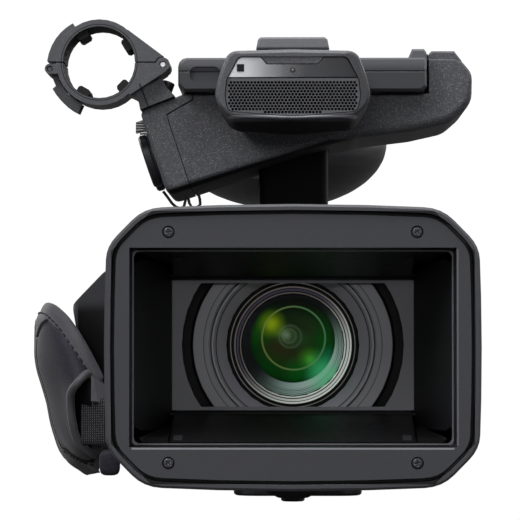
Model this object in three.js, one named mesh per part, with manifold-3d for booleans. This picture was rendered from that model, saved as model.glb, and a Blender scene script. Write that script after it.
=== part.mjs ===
// A handheld camcorder: lens and hood in front, body and grip behind, handle on top.
// Millimetres. The origin is the middle of the tripod base, +Z is up, the lens looks along -Y,
// and +X is the side with the switches, on the operator's left.
import * as THREE from 'three';
import { mergeVertices } from 'three/addons/utils/BufferGeometryUtils.js';
import Module from 'manifold-3d';

const wasm = await Module();
wasm.setup();

// Gaps
const CLEARANCE = 0.3; // between pieces that seat on each other
const RUNNING_GAP = 0.4; // round pieces that turn or slide

// Lens
const LENS_HEIGHT = 61; // lens axis above the underside of the tripod base
const BARREL_RADIUS = 36;
const LAND_RADIUS = 39; // fixed bands between the rings
const LENS_FLANGE_RADIUS = 44; // the hood locks on it
const LENS_FLANGE_LENGTH = 10;
const REAR_LAND_LENGTH = 3;
const RING_LAND_LENGTH = 1.5;
const IRIS_RING_RADIUS = 40;
const IRIS_RING_LENGTH = 11;
const IRIS_RING_RIBS = 22;
const ZOOM_RING_RADIUS = 41.5;
const ZOOM_RING_LENGTH = 21;
const ZOOM_RING_RIBS = 24;
const FOCUS_RING_RADIUS = 43;
const FOCUS_RING_LENGTH = 26;
const FOCUS_RING_RIBS = 26;
const RIB_DEPTH = 1.1;
const FRONT_RING_RADIUS = 38.6;
const FRONT_RING_LENGTH = 10.6;
const FILTER_RADIUS = 31; // 62 mm filter thread
const FRONT_GLASS_RADIUS = 24.9;
const FRONT_GLASS_CROWN = 4;
const BORE_RADIUS = 26;
const BORE_DEPTH = 22;
const INNER_RING_LIP = 22.4;
const INNER_GLASS_RADIUS = 19.5;
const INNER_GLASS_CROWN = 2.5;

// Hood, measured from its own middle, which lies a little below the lens axis
const HOOD_DROP = 0.9;
const HOOD_HALF_WIDTH = 67.5;
const HOOD_HALF_HEIGHT = 51.3;
const HOOD_CORNER = 21.8;
const HOOD_BULGE = 1;
const HOOD_LENGTH = 67; // front rim to the rear wall's inside edge
const HOOD_TAPER = 3; // narrower at the rear by this much a side
const HOOD_RIM = 2.5; // wall at the front rim
const HOOD_WALL = 4.6; // wall behind the front pocket
const HOOD_REAR_WALL = 3.5;
const HOOD_POCKET_DEPTH = 3.8;
const HOOD_COLLAR_WALL = 3.6;
const PLATE_GROOVE = 1.1; // dark line between rim and front plate
const PLATE_SETBACK = 1;
const PLATE_THICKNESS = 2.5;
const PLATE_SCREW_X = 44.5;
const PLATE_SCREW_Z = 41.3;
const PLATE_SCREW_RADIUS = 2.3;
const MOUTH_HALF_WIDTH = 58.6;
const MOUTH_HALF_HEIGHT = 35.8;
const MOUTH_DEPTH = 14;
const MOUTH_DRAFT = 1.3;
const WINDOW_HALF_WIDTH = 45.2;
const WINDOW_HALF_HEIGHT = 24.4;
const FUNNEL_DEPTH = 49; // front plate to the window
const FUNNEL_REAR_HALF_HEIGHT = 29.6;
const FUNNEL_WALL = 2;
const FUNNEL_CORNER = 11;
const REAR_PLATE_THICKNESS = 1.5;
const REAR_PLATE_HOLE = 41.5;
const REAR_PLATE_FLAT = 23.1;

// Shutter doors in the hood
const DOOR_LENGTH = 40;
const DOOR_THICKNESS = 1.5;
const DOOR_HALF_WIDTH = WINDOW_HALF_WIDTH - 1;
const DOOR_BARREL_RADIUS = 1.5;
const DOOR_TRUNNION_RADIUS = 0.9;
const DOOR_TRUNNION_LENGTH = 2.2;
const DOOR_HINGE_Z = 26; // hinge line above and below the lens axis
const DOOR_OPEN_ANGLE = 14; // degrees, front edge outwards
const SHUTTER_SLOT_LENGTH = 26;
const SHUTTER_SLOT_HEIGHT = 11;
const SHUTTER_SLOT_DEPTH = 2.6;
const SHUTTER_TRAVEL = 12;

// Hood release button under the lens
const RELEASE_BOSS_RADIUS = 18.2;
const RELEASE_BOSS_BOTTOM = 2.6; // above the ground
const RELEASE_BUTTON_RADIUS = 4.5;
const RELEASE_BUTTON_PROUD = 0.9;

// Body
const BODY_FRONT = -32;
const BODY_REAR = 105;
const BODY_RIGHT = -40;
const BODY_LEFT = 45;
const BODY_BOTTOM = 3;
const BODY_TOP = 108;
const BODY_SEAM = 2; // where the left and right cases meet
const BASE_WIDTH = 52;
const BASE_LENGTH = 98;
const BASE_SHIFT_X = 2;
const BASE_SHIFT_Y = 19;
const BASE_RECESS = 4; // how far the base reaches up into the cases
const LARGE_SOCKET_RADIUS = 4; // 3/8 inch thread, minor radius
const SMALL_SOCKET_RADIUS = 2.6; // 1/4 inch thread, minor radius
const SOCKET_DEPTH = 5.5;
const SOCKET_SPACING = 24;
const RECESS_DEPTH = 1.2; // shallow panels on the left side

// Left side controls
const ND_SLOT_WIDTH = 5;
const ND_TRAVEL = 15;
const ND_Y = -20;
const ND_Z = 46;
const SWITCH_ROW_Z = 22;
const GAIN_Y = -16;
const BALANCE_Y = 4;
const SWITCH_BALL_RADIUS = 3;
const SWITCH_REACH = 8;
const MENU_DIAL_RADIUS = 10.5;
const MENU_DIAL_PROUD = 3.4;
const MENU_DIAL_Y = 32;
const MENU_DIAL_Z = 30;
const AUDIO_DIAL_RADIUS = 7.5;
const AUDIO_DIAL_PROUD = 6;
const AUDIO_DIAL_Z = 88;
const AUDIO_DIAL_1_Y = 52;
const AUDIO_DIAL_2_Y = 74;
const DIAL_WELL_DEPTH = 5;
const ASSIGN_BUTTON_RADIUS = 4;
const ASSIGN_BUTTON_Y = 30;
const ASSIGN_BUTTON_Z = 58;
const BUTTON_WELL_DEPTH = 4;
const CARD_COVER_LENGTH = 44;
const CARD_COVER_HEIGHT = 56;
const CARD_COVER_Y = 52;
const CARD_COVER_Z = 12;
const CARD_COVER_THICKNESS = 2.6;
const CARD_SLOT_DEPTH = 9;
const COVER_BARREL_RADIUS = 1.7;

// Battery
const BATTERY_WIDTH = 41.5;
const BATTERY_HEIGHT = 69.7;
const BATTERY_DEPTH = 60;
const BATTERY_X = -4;
const BATTERY_BOTTOM = 13;
const RAIL_WIDTH = 6;
const RAIL_PROUD = 3;
const RAIL_LENGTH = 40;
const RAIL_SPACING = 26;
const RAIL_TOP = 68; // above the battery's bottom
const BATTERY_LATCH_TRAVEL = 3;

// Grip
const GRIP_FRONT = -24;
const GRIP_REAR = 84;
const GRIP_OUTER = -91;
const GRIP_TOP = 96;
const GRIP_BOTTOM = 8;
const ROCKER_LENGTH = 34;
const ROCKER_WIDTH = 13;
const ROCKER_WELL_DEPTH = 5;
const REC_BUTTON_RADIUS = 5;
const POWER_RING_RADIUS = 9.5;
const THUMB_X = -62;
const THUMB_Z = 70;

// Hand belt
const BELT_THICKNESS = 6.5;
const BELT_HALF_HEIGHT = 34.5;
const BELT_BOW = 4;
const BELT_TUCK = 17;
const WEBBING_WIDTH = 20;
const WEBBING_THICKNESS = 1.6;
const KEEPER_X = -58; // strap keepers on the grip's front and rear
const KEEPER_WALL = 1.8;
const STRAP_FRONT_Z = 34;
const STRAP_REAR_Z = 38;

// Handle
const HOUSING_FRONT = -65;
const HOUSING_LENGTH = 72;
const HOUSING_TOP = 160; // the bed that the screen panel lies on
const HOUSING_EDGE = 0.9;
const HOUSING_ROUND = 3.4; // of the lower front edge
const NECK_WIDTH = 28;
const NECK_LENGTH = 36;
const NECK_FRONT = -30;
const NECK_SEAT = 150;
const BAR_WIDTH = 27;
const BAR_HEIGHT = 23;
const BAR_TOP = HOUSING_TOP + BAR_HEIGHT;
const BAR_EDGE = 4;
const BAR_FRONT = -5;
const BAR_REAR = 112;
const FINGER_GAP_REAR = 82;
const SHOE_WIDTH = 28.4;
const SHOE_LENGTH = 25;
const SHOE_HEIGHT = 5;
const SHOE_SLOT_WIDTH = 18.7;
const SHOE_LIP_GAP = 12.6;
const SHOE_FLOOR = 1;
const SHOE_SLOT_HEIGHT = 2.3;

// Screen panel
const PANEL_LEFT = 52.3;
const PANEL_RIGHT = -44.8;
const PANEL_FRONT = -75;
const PANEL_LENGTH = 65;
const PANEL_THICKNESS = 12.9;
const PANEL_PIVOT_Z = HOUSING_TOP + 15.4;
const PANEL_PIVOT_X = 53;
const SCREEN_LENGTH = 78;
const SCREEN_WIDTH = 50;
const SCREEN_THICKNESS = 1.4;
const HINGE_BUMP_TOP = HOUSING_TOP + 16.7;
const HINGE_KNUCKLE_RADIUS = 1.3;
const HINGE_PIN_RADIUS = 0.5;

// Microphone pod
const POD_FRONT = -112;
const POD_LENGTH = 36;
const POD_Z = 157; // middle of the front
const FRAME_LIFT = 4.8; // of the front frame's lower edge above the underside
const GRILLE_THICKNESS = 1.6;
const STRIP_THICKNESS = 1.2;

// Microphone holder, round its own middle
const HOLDER_X = -75.8;
const HOLDER_Z = 171.7;
const HOLDER_FRONT = -72;
const HOLDER_WIDTH = 24;
const HOLDER_BORE = 14;
const HOLDER_RADIUS = 16.9;
const HOLDER_PAD_RADIUS = 11.3; // what the four pads leave for the microphone
const HOLDER_PAD_WIDTH = 5;
const HOLDER_PIVOT_X = 24.9; // hinge pin from the middle of the ring
const HOLDER_PIVOT_Z = -0.8;
const HOLDER_KNUCKLE = 2.75;
const HOLDER_PIN_RADIUS = 1;
const LATCH_PIVOT_X = -19.4;
const LATCH_PIVOT_Z = -2.5;
const LATCH_KNUCKLE = 2;
const LEVER_PROUD = 3.9;
const PLATE_START = 124; // degrees round the ring, of the plate over the upper jaw
const PLATE_STEP = 9;

// XLR block
const XLR_RADIUS = 10.75;
const XLR_BORE = 8.2;
const XLR_PROUD = 4.5;
const XLR_DEPTH = 14;
const XLR_BORE_DEPTH = 14;
const XLR_SPACING = 32;
const XLR_FIRST_Y = -44;
const XLR_TAB_WIDTH = 7;

// Viewfinder
const FINDER_X = -6;
const FINDER_WIDTH = 44;
const FINDER_Z = BAR_TOP - 26;
const FINDER_TOP = FINDER_Z + 17;
const FINDER_BOTTOM = FINDER_Z - 19;
const FINDER_LENGTH = 26;
const FINDER_PIVOT_Y = 118;
const FINDER_PIVOT_Z = FINDER_Z + 7;
const FINDER_BARREL_RADIUS = 6;
const EYECUP_HALF_WIDTH = 51.4;
const EYECUP_HALF_HEIGHT = 31.4;
const EYECUP_LENGTH = 44;
const EYECUP_WALL = 2.4;

// Solids

// A closed geometry as a solid whose faces point out.
function solid(geometry) {
  const bare = geometry.clone();
  bare.deleteAttribute('normal');
  bare.deleteAttribute('uv');
  const merged = mergeVertices(bare, 1e-4);
  const places = merged.attributes.position.array;
  const corners = merged.index.array;
  const kept = [];
  let volume = 0;
  for (let i = 0; i < corners.length; i += 3) {
    const [a, b, c] = [corners[i], corners[i + 1], corners[i + 2]];
    if (a === b || b === c || c === a) continue;
    kept.push(a, b, c);
    const [p, q, r] = [a, b, c].map((k) => new THREE.Vector3().fromArray(places, 3 * k));
    volume += p.dot(q.cross(r));
  }
  if (volume < 0) kept.reverse();
  return new wasm.Manifold(new wasm.Mesh({
    numProp: 3, vertProperties: new Float32Array(places), triVerts: new Uint32Array(kept),
  }));
}

const join = (first, ...others) => others.reduce((whole, part) => whole.add(part), first);
const cut = (first, ...others) => others.reduce((whole, part) => whole.subtract(part), first);
const common = (first, ...others) => others.reduce((whole, part) => whole.intersect(part), first);

// An outline (a, b) drawn along an axis: along x it is (y, z), along y (x, z), along z (x, y).
const AXIS_MATRIX = {
  x: new THREE.Matrix4().set(0, 0, 1, 0, 1, 0, 0, 0, 0, 1, 0, 0, 0, 0, 0, 1),
  y: new THREE.Matrix4().set(1, 0, 0, 0, 0, 0, 1, 0, 0, 1, 0, 0, 0, 0, 0, 1),
  z: new THREE.Matrix4(),
};

// A straight prism of an outline, with its end edges rounded by edge.
function prism(axis, outline, from, to, edge = 0, edgeSteps = 2) {
  const geometry = new THREE.ExtrudeGeometry(new THREE.Shape(outline), {
    depth: to - from - 2 * edge,
    bevelEnabled: edge > 0,
    bevelThickness: edge,
    bevelSize: edge,
    bevelOffset: -edge,
    bevelSegments: edgeSteps,
    curveSegments: 1,
  });
  geometry.translate(0, 0, from + edge);
  return solid(geometry.applyMatrix4(AXIS_MATRIX[axis]));
}

// A skin through outlines with like numbers of points, closed by flat ends.
function loft(axis, rings) {
  const count = rings[0].outline.length;
  const places = rings.flatMap(({ at, outline }) => outline.flatMap((p) => [p.x, p.y, at]));
  const faces = [];
  for (let ring = 0; ring + 1 < rings.length; ring += 1) {
    for (let k = 0; k < count; k += 1) {
      const [a, b] = [ring * count + k, ring * count + ((k + 1) % count)];
      faces.push(a, b, b + count, a, b + count, a + count);
    }
  }
  const last = (rings.length - 1) * count;
  for (const [a, b, c] of THREE.ShapeUtils.triangulateShape(rings[0].outline, [])) {
    faces.push(c, b, a);
  }
  for (const [a, b, c] of THREE.ShapeUtils.triangulateShape(rings.at(-1).outline, [])) {
    faces.push(last + a, last + b, last + c);
  }
  const geometry = new THREE.BufferGeometry();
  geometry.setAttribute('position', new THREE.Float32BufferAttribute(places, 3));
  geometry.setIndex(faces);
  return solid(geometry.applyMatrix4(AXIS_MATRIX[axis]));
}

// A profile (radius, height) turned round an axis through (a, b) of the plane across it.
function turned(axis, profile, segments = 48, a = 0, b = 0) {
  const geometry = new THREE.LatheGeometry(profile.map(([r, h]) => new THREE.Vector2(r, h)), segments);
  geometry.rotateX(Math.PI / 2);
  geometry.translate(a, b, 0);
  return solid(geometry.applyMatrix4(AXIS_MATRIX[axis]));
}

// A round bar along an axis, with its end edges cut by edge.
function rod(axis, radius, from, to, a = 0, b = 0, segments = 24, edge = 0) {
  const profile = edge > 0
    ? [[0, from], [radius - edge, from], [radius, from + edge], [radius, to - edge], [radius - edge, to],
      [0, to]]
    : [[0, from], [radius, from], [radius, to], [0, to]];
  return turned(axis, profile, segments, a, b);
}

function block(x0, x1, y0, y1, z0, z1) {
  const geometry = new THREE.BoxGeometry(x1 - x0, y1 - y0, z1 - z0);
  return solid(geometry.translate((x0 + x1) / 2, (y0 + y1) / 2, (z0 + z1) / 2));
}

function geometryOf(shape) {
  const { vertProperties, triVerts } = shape.getMesh();
  const geometry = new THREE.BufferGeometry();
  geometry.setAttribute('position', new THREE.BufferAttribute(vertProperties, 3));
  geometry.setIndex(new THREE.BufferAttribute(triVerts, 1));
  return geometry;
}

const placed = (shape, matrix) => solid(geometryOf(shape).applyMatrix4(matrix));
const moved = (shape, x, y, z) => placed(shape, new THREE.Matrix4().makeTranslation(x, y, z));
const mirroredZ = (shape) => placed(shape, new THREE.Matrix4().makeScale(1, 1, -1));

const points = (pairs) => pairs.map(([a, b]) => new THREE.Vector2(a, b));

// A polygon with its corners rounded; a third number on a corner is its own radius.
// A radius under CHAMFER_LIMIT becomes a single chamfer.
const CHAMFER_LIMIT = 2.2;
function rounded(corners, radius, steps = 3) {
  const out = [];
  corners.forEach(([x, y, own], k) => {
    const here = new THREE.Vector2(x, y);
    const before = new THREE.Vector2(...corners.at(k - 1).slice(0, 2)).sub(here);
    const after = new THREE.Vector2(...corners[(k + 1) % corners.length].slice(0, 2)).sub(here);
    const half = Math.acos(before.clone().normalize().dot(after.clone().normalize())) / 2;
    const reach = Math.min((own ?? radius) / Math.tan(half), before.length() * 0.49, after.length() * 0.49);
    const size = reach * Math.tan(half);
    if (size < 0.05) {
      out.push(here);
      return;
    }
    before.normalize();
    after.normalize();
    const middle = before.clone().add(after).normalize().multiplyScalar(size / Math.sin(half)).add(here);
    const start = here.clone().addScaledVector(before, reach).sub(middle);
    const end = here.clone().addScaledVector(after, reach).sub(middle);
    let sweep = end.angle() - start.angle();
    if (sweep > Math.PI) sweep -= 2 * Math.PI;
    if (sweep < -Math.PI) sweep += 2 * Math.PI;
    const parts = size < CHAMFER_LIMIT ? 1 : steps;
    for (let i = 0; i <= parts; i += 1) {
      out.push(start.clone().rotateAround(new THREE.Vector2(), (sweep * i) / parts).add(middle));
    }
  });
  return out;
}

const rectangle = (halfWidth, halfHeight, x = 0, z = 0) => [
  [x - halfWidth, z - halfHeight], [x + halfWidth, z - halfHeight],
  [x + halfWidth, z + halfHeight], [x - halfWidth, z + halfHeight],
];

// An ellipse, or a circle when both radii are alike.
function oval(halfWidth, halfHeight, steps, x = 0, z = 0) {
  return Array.from({ length: steps }, (_, k) => {
    const angle = (2 * Math.PI * k) / steps;
    return new THREE.Vector2(x + halfWidth * Math.cos(angle), z + halfHeight * Math.sin(angle));
  });
}

const part = new THREE.Group();

function finish(color, roughness, metalness = 0) {
  return { color, roughness, metalness };
}
const PLASTIC = finish(0x46464a, 0.55);
const DARK_PLASTIC = finish(0x1b1b1d, 0.5);
const TEXTURED = finish(0x4b4c51, 0.65);
const RUBBER = finish(0x262628, 0.8);
const GREY = finish(0x8b8c90, 0.45, 0.3);
const SILVER = finish(0xb9bbc0, 0.3, 0.9);
const GLASS = finish(0x14261a, 0.08);
const LEATHER = finish(0x39383c, 0.7);
const WEBBING = finish(0x2a2a2e, 0.9);
const GLOSS = finish(0x3c3c40, 0.15);

function piece(parent, name, shape, look) {
  const geometry = geometryOf(shape);
  geometry.computeVertexNormals();
  const mesh = new THREE.Mesh(geometry, new THREE.MeshStandardMaterial(look));
  mesh.name = name;
  parent.add(mesh);
  return mesh;
}

function assembly(x = 0, y = 0, z = 0, parent = part) {
  const group = new THREE.Group();
  group.position.set(x, y, z);
  parent.add(group);
  return group;
}

// Lens: a fixed barrel with three turning rings between its lands, and the hood flange in front
const lens = assembly(0, 0, LENS_HEIGHT);
const barrelRear = BODY_FRONT - CLEARANCE;
const irisRear = barrelRear - REAR_LAND_LENGTH - CLEARANCE;
const irisFront = irisRear - IRIS_RING_LENGTH;
const zoomRear = irisFront - RING_LAND_LENGTH - 2 * CLEARANCE;
const zoomFront = zoomRear - ZOOM_RING_LENGTH;
const focusRear = zoomFront - RING_LAND_LENGTH - 2 * CLEARANCE;
const focusFront = focusRear - FOCUS_RING_LENGTH;
const flangeRear = focusFront - CLEARANCE;
const flangeFront = flangeRear - LENS_FLANGE_LENGTH;
const frontRingRear = flangeFront - CLEARANCE;
const frontRingFront = frontRingRear - FRONT_RING_LENGTH;
const boreFloor = flangeFront + BORE_DEPTH;

piece(lens, 'lens_barrel', turned('y', [
  [0, barrelRear], [LAND_RADIUS + 2, barrelRear], [LAND_RADIUS + 2, barrelRear - REAR_LAND_LENGTH],
  [BARREL_RADIUS, barrelRear - REAR_LAND_LENGTH],
  [BARREL_RADIUS, irisFront - CLEARANCE], [LAND_RADIUS, irisFront - CLEARANCE],
  [LAND_RADIUS, zoomRear + CLEARANCE], [BARREL_RADIUS, zoomRear + CLEARANCE],
  [BARREL_RADIUS, zoomFront - CLEARANCE], [LAND_RADIUS, zoomFront - CLEARANCE],
  [LAND_RADIUS, focusRear + CLEARANCE], [BARREL_RADIUS, focusRear + CLEARANCE],
  [BARREL_RADIUS, flangeRear], [LENS_FLANGE_RADIUS, flangeRear],
  [LENS_FLANGE_RADIUS, flangeFront], [BORE_RADIUS, flangeFront],
  [BORE_RADIUS, boreFloor], [0, boreFloor],
], 24), DARK_PLASTIC);

// A ring with ribs all round: crest and valley points in turn, with plain bevelled ends.
function ribbedRing(radius, front, rear, ribs) {
  const ring = (size, depth) => Array.from({ length: 2 * ribs }, (_, k) => {
    const angle = (Math.PI * k) / ribs;
    const reach = size - (k % 2 ? depth : 0);
    return new THREE.Vector2(reach * Math.cos(angle), reach * Math.sin(angle));
  });
  const body = loft('y', [
    { at: front, outline: ring(radius - RIB_DEPTH, 0) },
    { at: front + RIB_DEPTH, outline: ring(radius, RIB_DEPTH) },
    { at: rear - RIB_DEPTH, outline: ring(radius, RIB_DEPTH) },
    { at: rear, outline: ring(radius - RIB_DEPTH, 0) },
  ]);
  return cut(body, rod('y', BARREL_RADIUS + RUNNING_GAP, front - 1, rear + 1, 0, 0, 24));
}
piece(lens, 'iris_ring', ribbedRing(IRIS_RING_RADIUS, irisFront, irisRear, IRIS_RING_RIBS), RUBBER);
piece(lens, 'zoom_ring', ribbedRing(ZOOM_RING_RADIUS, zoomFront, zoomRear, ZOOM_RING_RIBS), RUBBER);
piece(lens, 'focus_ring', ribbedRing(FOCUS_RING_RADIUS, focusFront, focusRear, FOCUS_RING_RIBS), RUBBER);

const glassSeat = FRONT_GLASS_RADIUS + CLEARANCE;
const glassRim = frontRingRear - 1.2;
piece(lens, 'lens_front_ring', turned('y', [
  [glassSeat, frontRingRear], [FRONT_RING_RADIUS, frontRingRear],
  [FRONT_RING_RADIUS, frontRingFront + 1], [FRONT_RING_RADIUS - 1, frontRingFront],
  [FILTER_RADIUS + 0.6, frontRingFront], [FILTER_RADIUS + 0.6, frontRingFront + 1.6],
  [FILTER_RADIUS - 0.4, frontRingFront + 1.6], [FILTER_RADIUS - 0.4, frontRingFront + 0.6],
  [FILTER_RADIUS - 1, frontRingFront + 0.6], [glassSeat, glassRim],
  [glassSeat, frontRingRear],
], 28), PLASTIC);

// A disc of glass with a crowned front, its rim between front and rear.
function glassDisc(radius, front, rear, crown, segments) {
  const bend = Array.from({ length: 3 }, (_, k) => {
    const share = k / 3;
    return [radius * share, front - crown * (1 - share * share)];
  });
  return turned('y', [...bend, [radius, front], [radius, rear], [0, rear]], segments);
}
const frontGlassRear = glassRim + 5;
piece(lens, 'front_lens',
  glassDisc(FRONT_GLASS_RADIUS, glassRim + CLEARANCE, frontGlassRear, FRONT_GLASS_CROWN, 24), GLASS);
const innerRingFront = frontGlassRear + CLEARANCE;
const innerRingRear = innerRingFront + 5.5;
const innerGlassSeat = INNER_GLASS_RADIUS + CLEARANCE;
piece(lens, 'lens_inner_ring', turned('y', [
  [innerGlassSeat, innerRingRear], [BORE_RADIUS - CLEARANCE, innerRingRear],
  [BORE_RADIUS - CLEARANCE, innerRingFront], [INNER_RING_LIP, innerRingFront],
  [innerGlassSeat, innerRingFront + 2], [innerGlassSeat, innerRingRear],
], 24), SILVER);
piece(lens, 'inner_lens',
  glassDisc(INNER_GLASS_RADIUS, innerRingFront + 3, innerRingRear, INNER_GLASS_CROWN, 20), GLASS);

// Hood: a moulded shell, a black funnel with the front plate, and the two shutter doors
const hoodFront = frontRingFront - 56;
const hoodRear = hoodFront + HOOD_LENGTH;
const hood = assembly(0, 0, LENS_HEIGHT - HOOD_DROP);

// A rectangle with cut corners, softly rounded, and sides that bulge a little.
const BEND_STEPS = 4;
const CUT_DOWN = 0.69; // a cut's reach down the side and along the top, as shares of the corner
const CUT_ALONG = 0.65;
function bend(from, turn, to) {
  return Array.from({ length: BEND_STEPS + 1 }, (_, k) => {
    const share = k / BEND_STEPS;
    return [0, 1].map((axis) => (1 - share) ** 2 * from[axis] + 2 * share * (1 - share) * turn[axis]
      + share ** 2 * to[axis]);
  });
}
function hoodOutline(halfWidth, halfHeight, corner, bulge = HOOD_BULGE) {
  const low = [halfWidth - bulge * 0.8, halfHeight - corner * CUT_DOWN];
  const high = [halfWidth - corner * CUT_ALONG, halfHeight - bulge * 1.4];
  const cut = (share) => [low[0] + (high[0] - low[0]) * share, low[1] + (high[1] - low[1]) * share];
  const quarter = [
    [halfWidth, 0], [halfWidth - bulge * 0.2, low[1] / 2],
    ...bend([halfWidth - bulge * 0.6, low[1] - corner * 0.22], low, cut(0.28)),
    ...bend(cut(0.68), high, [high[0] - corner * 0.3, halfHeight - bulge * 1.1]),
    [high[0] / 2, halfHeight - bulge / 3],
  ];
  const upper = [...quarter, [0, halfHeight], ...quarter.slice(1).reverse().map(([x, z]) => [-x, z])];
  const lower = upper.slice(1).reverse().map(([x, z]) => [x, -z]);
  return points([...upper, [-halfWidth, 0], ...lower]);
}
const hoodRing = (at, inset) => ({
  at,
  outline: hoodOutline(HOOD_HALF_WIDTH - inset, HOOD_HALF_HEIGHT - inset, HOOD_CORNER - Math.min(inset, 9)),
});
const hoodBody = loft('y', [
  hoodRing(hoodFront, 0.9), hoodRing(hoodFront + 0.9, 0),
  hoodRing(hoodFront + 20, 0.4), hoodRing(hoodRear - 6, HOOD_TAPER),
  hoodRing(hoodRear - 2, HOOD_TAPER + 2), hoodRing(hoodRear, HOOD_TAPER + 7),
]);
const hoodPocket = loft('y', [
  hoodRing(hoodFront - 1, HOOD_RIM - 0.5), hoodRing(hoodFront + HOOD_POCKET_DEPTH, HOOD_RIM),
]);
const hoodRoom = loft('y', [
  hoodRing(hoodFront, HOOD_RIM + HOOD_WALL - 1.5), hoodRing(hoodRear - HOOD_REAR_WALL - 5,
    HOOD_TAPER + HOOD_WALL),
  hoodRing(hoodRear - HOOD_REAR_WALL, HOOD_TAPER + HOOD_WALL + 3),
]);
const collarBore = LENS_FLANGE_RADIUS + CLEARANCE;
const collarRadius = collarBore + HOOD_COLLAR_WALL;
const collar = rod('y', collarRadius, hoodRear - 2, flangeRear, 0, HOOD_DROP, 24);
const bossZ = RELEASE_BOSS_BOTTOM + RELEASE_BOSS_RADIUS - (LENS_HEIGHT - HOOD_DROP);
const releaseBoss = rod('y', RELEASE_BOSS_RADIUS, hoodRear - 6, flangeRear, 0, bossZ, 20, 1);
const buttonY = (hoodRear + flangeRear) / 2 - 0.5;
const bossBottom = bossZ - RELEASE_BOSS_RADIUS;
const releaseWell = rod('z', RELEASE_BUTTON_RADIUS + RUNNING_GAP, bossBottom - 1, bossBottom + 6, 0,
  buttonY, 16);
const leverX = HOOD_HALF_WIDTH - 0.9;
const leverRear = hoodFront + 48;
const leverWell = block(leverX - SHUTTER_SLOT_DEPTH, leverX + 5,
  leverRear - SHUTTER_SLOT_LENGTH, leverRear, -SHUTTER_SLOT_HEIGHT / 2, SHUTTER_SLOT_HEIGHT / 2);
const hoodShell = cut(
  join(cut(hoodBody, hoodRoom), collar, cut(releaseBoss, hoodRoom)),
  hoodPocket, rod('y', collarBore, hoodRear - 12, flangeRear + 1, 0, HOOD_DROP, 24), releaseWell, leverWell,
);
piece(hood, 'hood_shell', hoodShell, PLASTIC);

piece(hood, 'hood_release_button', rod('z', RELEASE_BUTTON_RADIUS,
  bossBottom - RELEASE_BUTTON_PROUD, bossBottom + 3.4, 0, buttonY, 16, 0.5), DARK_PLASTIC);

// The lever lies at the front end of its slot while the doors are open.
const leverLength = SHUTTER_SLOT_LENGTH - SHUTTER_TRAVEL - 2 * RUNNING_GAP;
const leverFront = leverRear - SHUTTER_SLOT_LENGTH + RUNNING_GAP;
const leverHalf = SHUTTER_SLOT_HEIGHT / 2 - RUNNING_GAP;
const leverPlate = block(leverX - SHUTTER_SLOT_DEPTH + CLEARANCE, leverX - 0.6,
  leverFront, leverFront + leverLength, -leverHalf, leverHalf);
const leverGrooves = [0.3, 0.5, 0.7].map((share) => block(leverX - 1.4, leverX,
  leverFront + leverLength * share - 0.6, leverFront + leverLength * share + 0.6, -leverHalf + 1,
    leverHalf - 1));
piece(hood, 'shutter_lever', cut(leverPlate, ...leverGrooves), DARK_PLASTIC);

// Hinge line of the doors, close before the window
const plateFront = hoodFront + PLATE_SETBACK;
const plateRear = plateFront + PLATE_THICKNESS;
const windowFront = plateFront + FUNNEL_DEPTH;
const doorHingeY = windowFront - 0.5;
const doorTurn = THREE.MathUtils.degToRad(DOOR_OPEN_ANGLE);
// A point beside the open upper door: so far along it from the hinge, so far above its middle plane
const byDoor = (along, above) => [
  doorHingeY - along * Math.cos(doorTurn) + above * Math.sin(doorTurn),
  DOOR_HINGE_Z + along * Math.sin(doorTurn) + above * Math.cos(doorTurn),
];
const halfDoor = DOOR_THICKNESS / 2;
const doorProfile = points([
  byDoor(0, -halfDoor), byDoor(0, halfDoor), byDoor(DOOR_LENGTH, halfDoor), byDoor(DOOR_LENGTH, -halfDoor),
]);
const doorLeaf = join(
  prism('x', doorProfile, -DOOR_HALF_WIDTH, DOOR_HALF_WIDTH),
  rod('x', DOOR_BARREL_RADIUS, -DOOR_HALF_WIDTH, DOOR_HALF_WIDTH, doorHingeY, DOOR_HINGE_Z, 16),
  rod('x', DOOR_TRUNNION_RADIUS, -DOOR_HALF_WIDTH - DOOR_TRUNNION_LENGTH,
    DOOR_HALF_WIDTH + DOOR_TRUNNION_LENGTH, doorHingeY, DOOR_HINGE_Z, 12),
);
const doors = assembly(0, 0, LENS_HEIGHT);
piece(doors, 'shutter_upper', doorLeaf, DARK_PLASTIC);
piece(doors, 'shutter_lower', mirroredZ(doorLeaf), DARK_PLASTIC);

// The funnel, drawn round the lens axis; its front plate and mouth follow the hood's middle
const boxRing = (at, halfWidth, halfHeight, z) => ({ at,
  outline: points(rectangle(halfWidth, halfHeight, 0, z)) });
const funnelWallTop = DOOR_HINGE_Z + DOOR_LENGTH * Math.sin(doorTurn) + halfDoor + RUNNING_GAP + FUNNEL_WALL;
const plateOutline = hoodOutline(HOOD_HALF_WIDTH - HOOD_RIM - PLATE_GROOVE,
  HOOD_HALF_HEIGHT - HOOD_RIM - PLATE_GROOVE, HOOD_CORNER - HOOD_RIM - PLATE_GROOVE);
const plateShape = moved(
  loft('y', [{ at: plateFront, outline: plateOutline }, { at: plateRear, outline: plateOutline }]),
  0, 0, -HOOD_DROP,
);
const funnelRear = windowFront + FUNNEL_WALL;
const roundBoxRing = (at, halfWidth, halfHeight) => ({
  at, outline: rounded(rectangle(halfWidth, halfHeight), FUNNEL_CORNER, 4),
});
const funnelOuter = loft('y', [
  roundBoxRing(plateRear - 0.5, MOUTH_HALF_WIDTH + FUNNEL_WALL, funnelWallTop + 1.6),
  roundBoxRing(funnelRear, WINDOW_HALF_WIDTH + FUNNEL_WALL + 1.2,
    FUNNEL_REAR_HALF_HEIGHT + FUNNEL_WALL + 1.5),
]);
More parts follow.
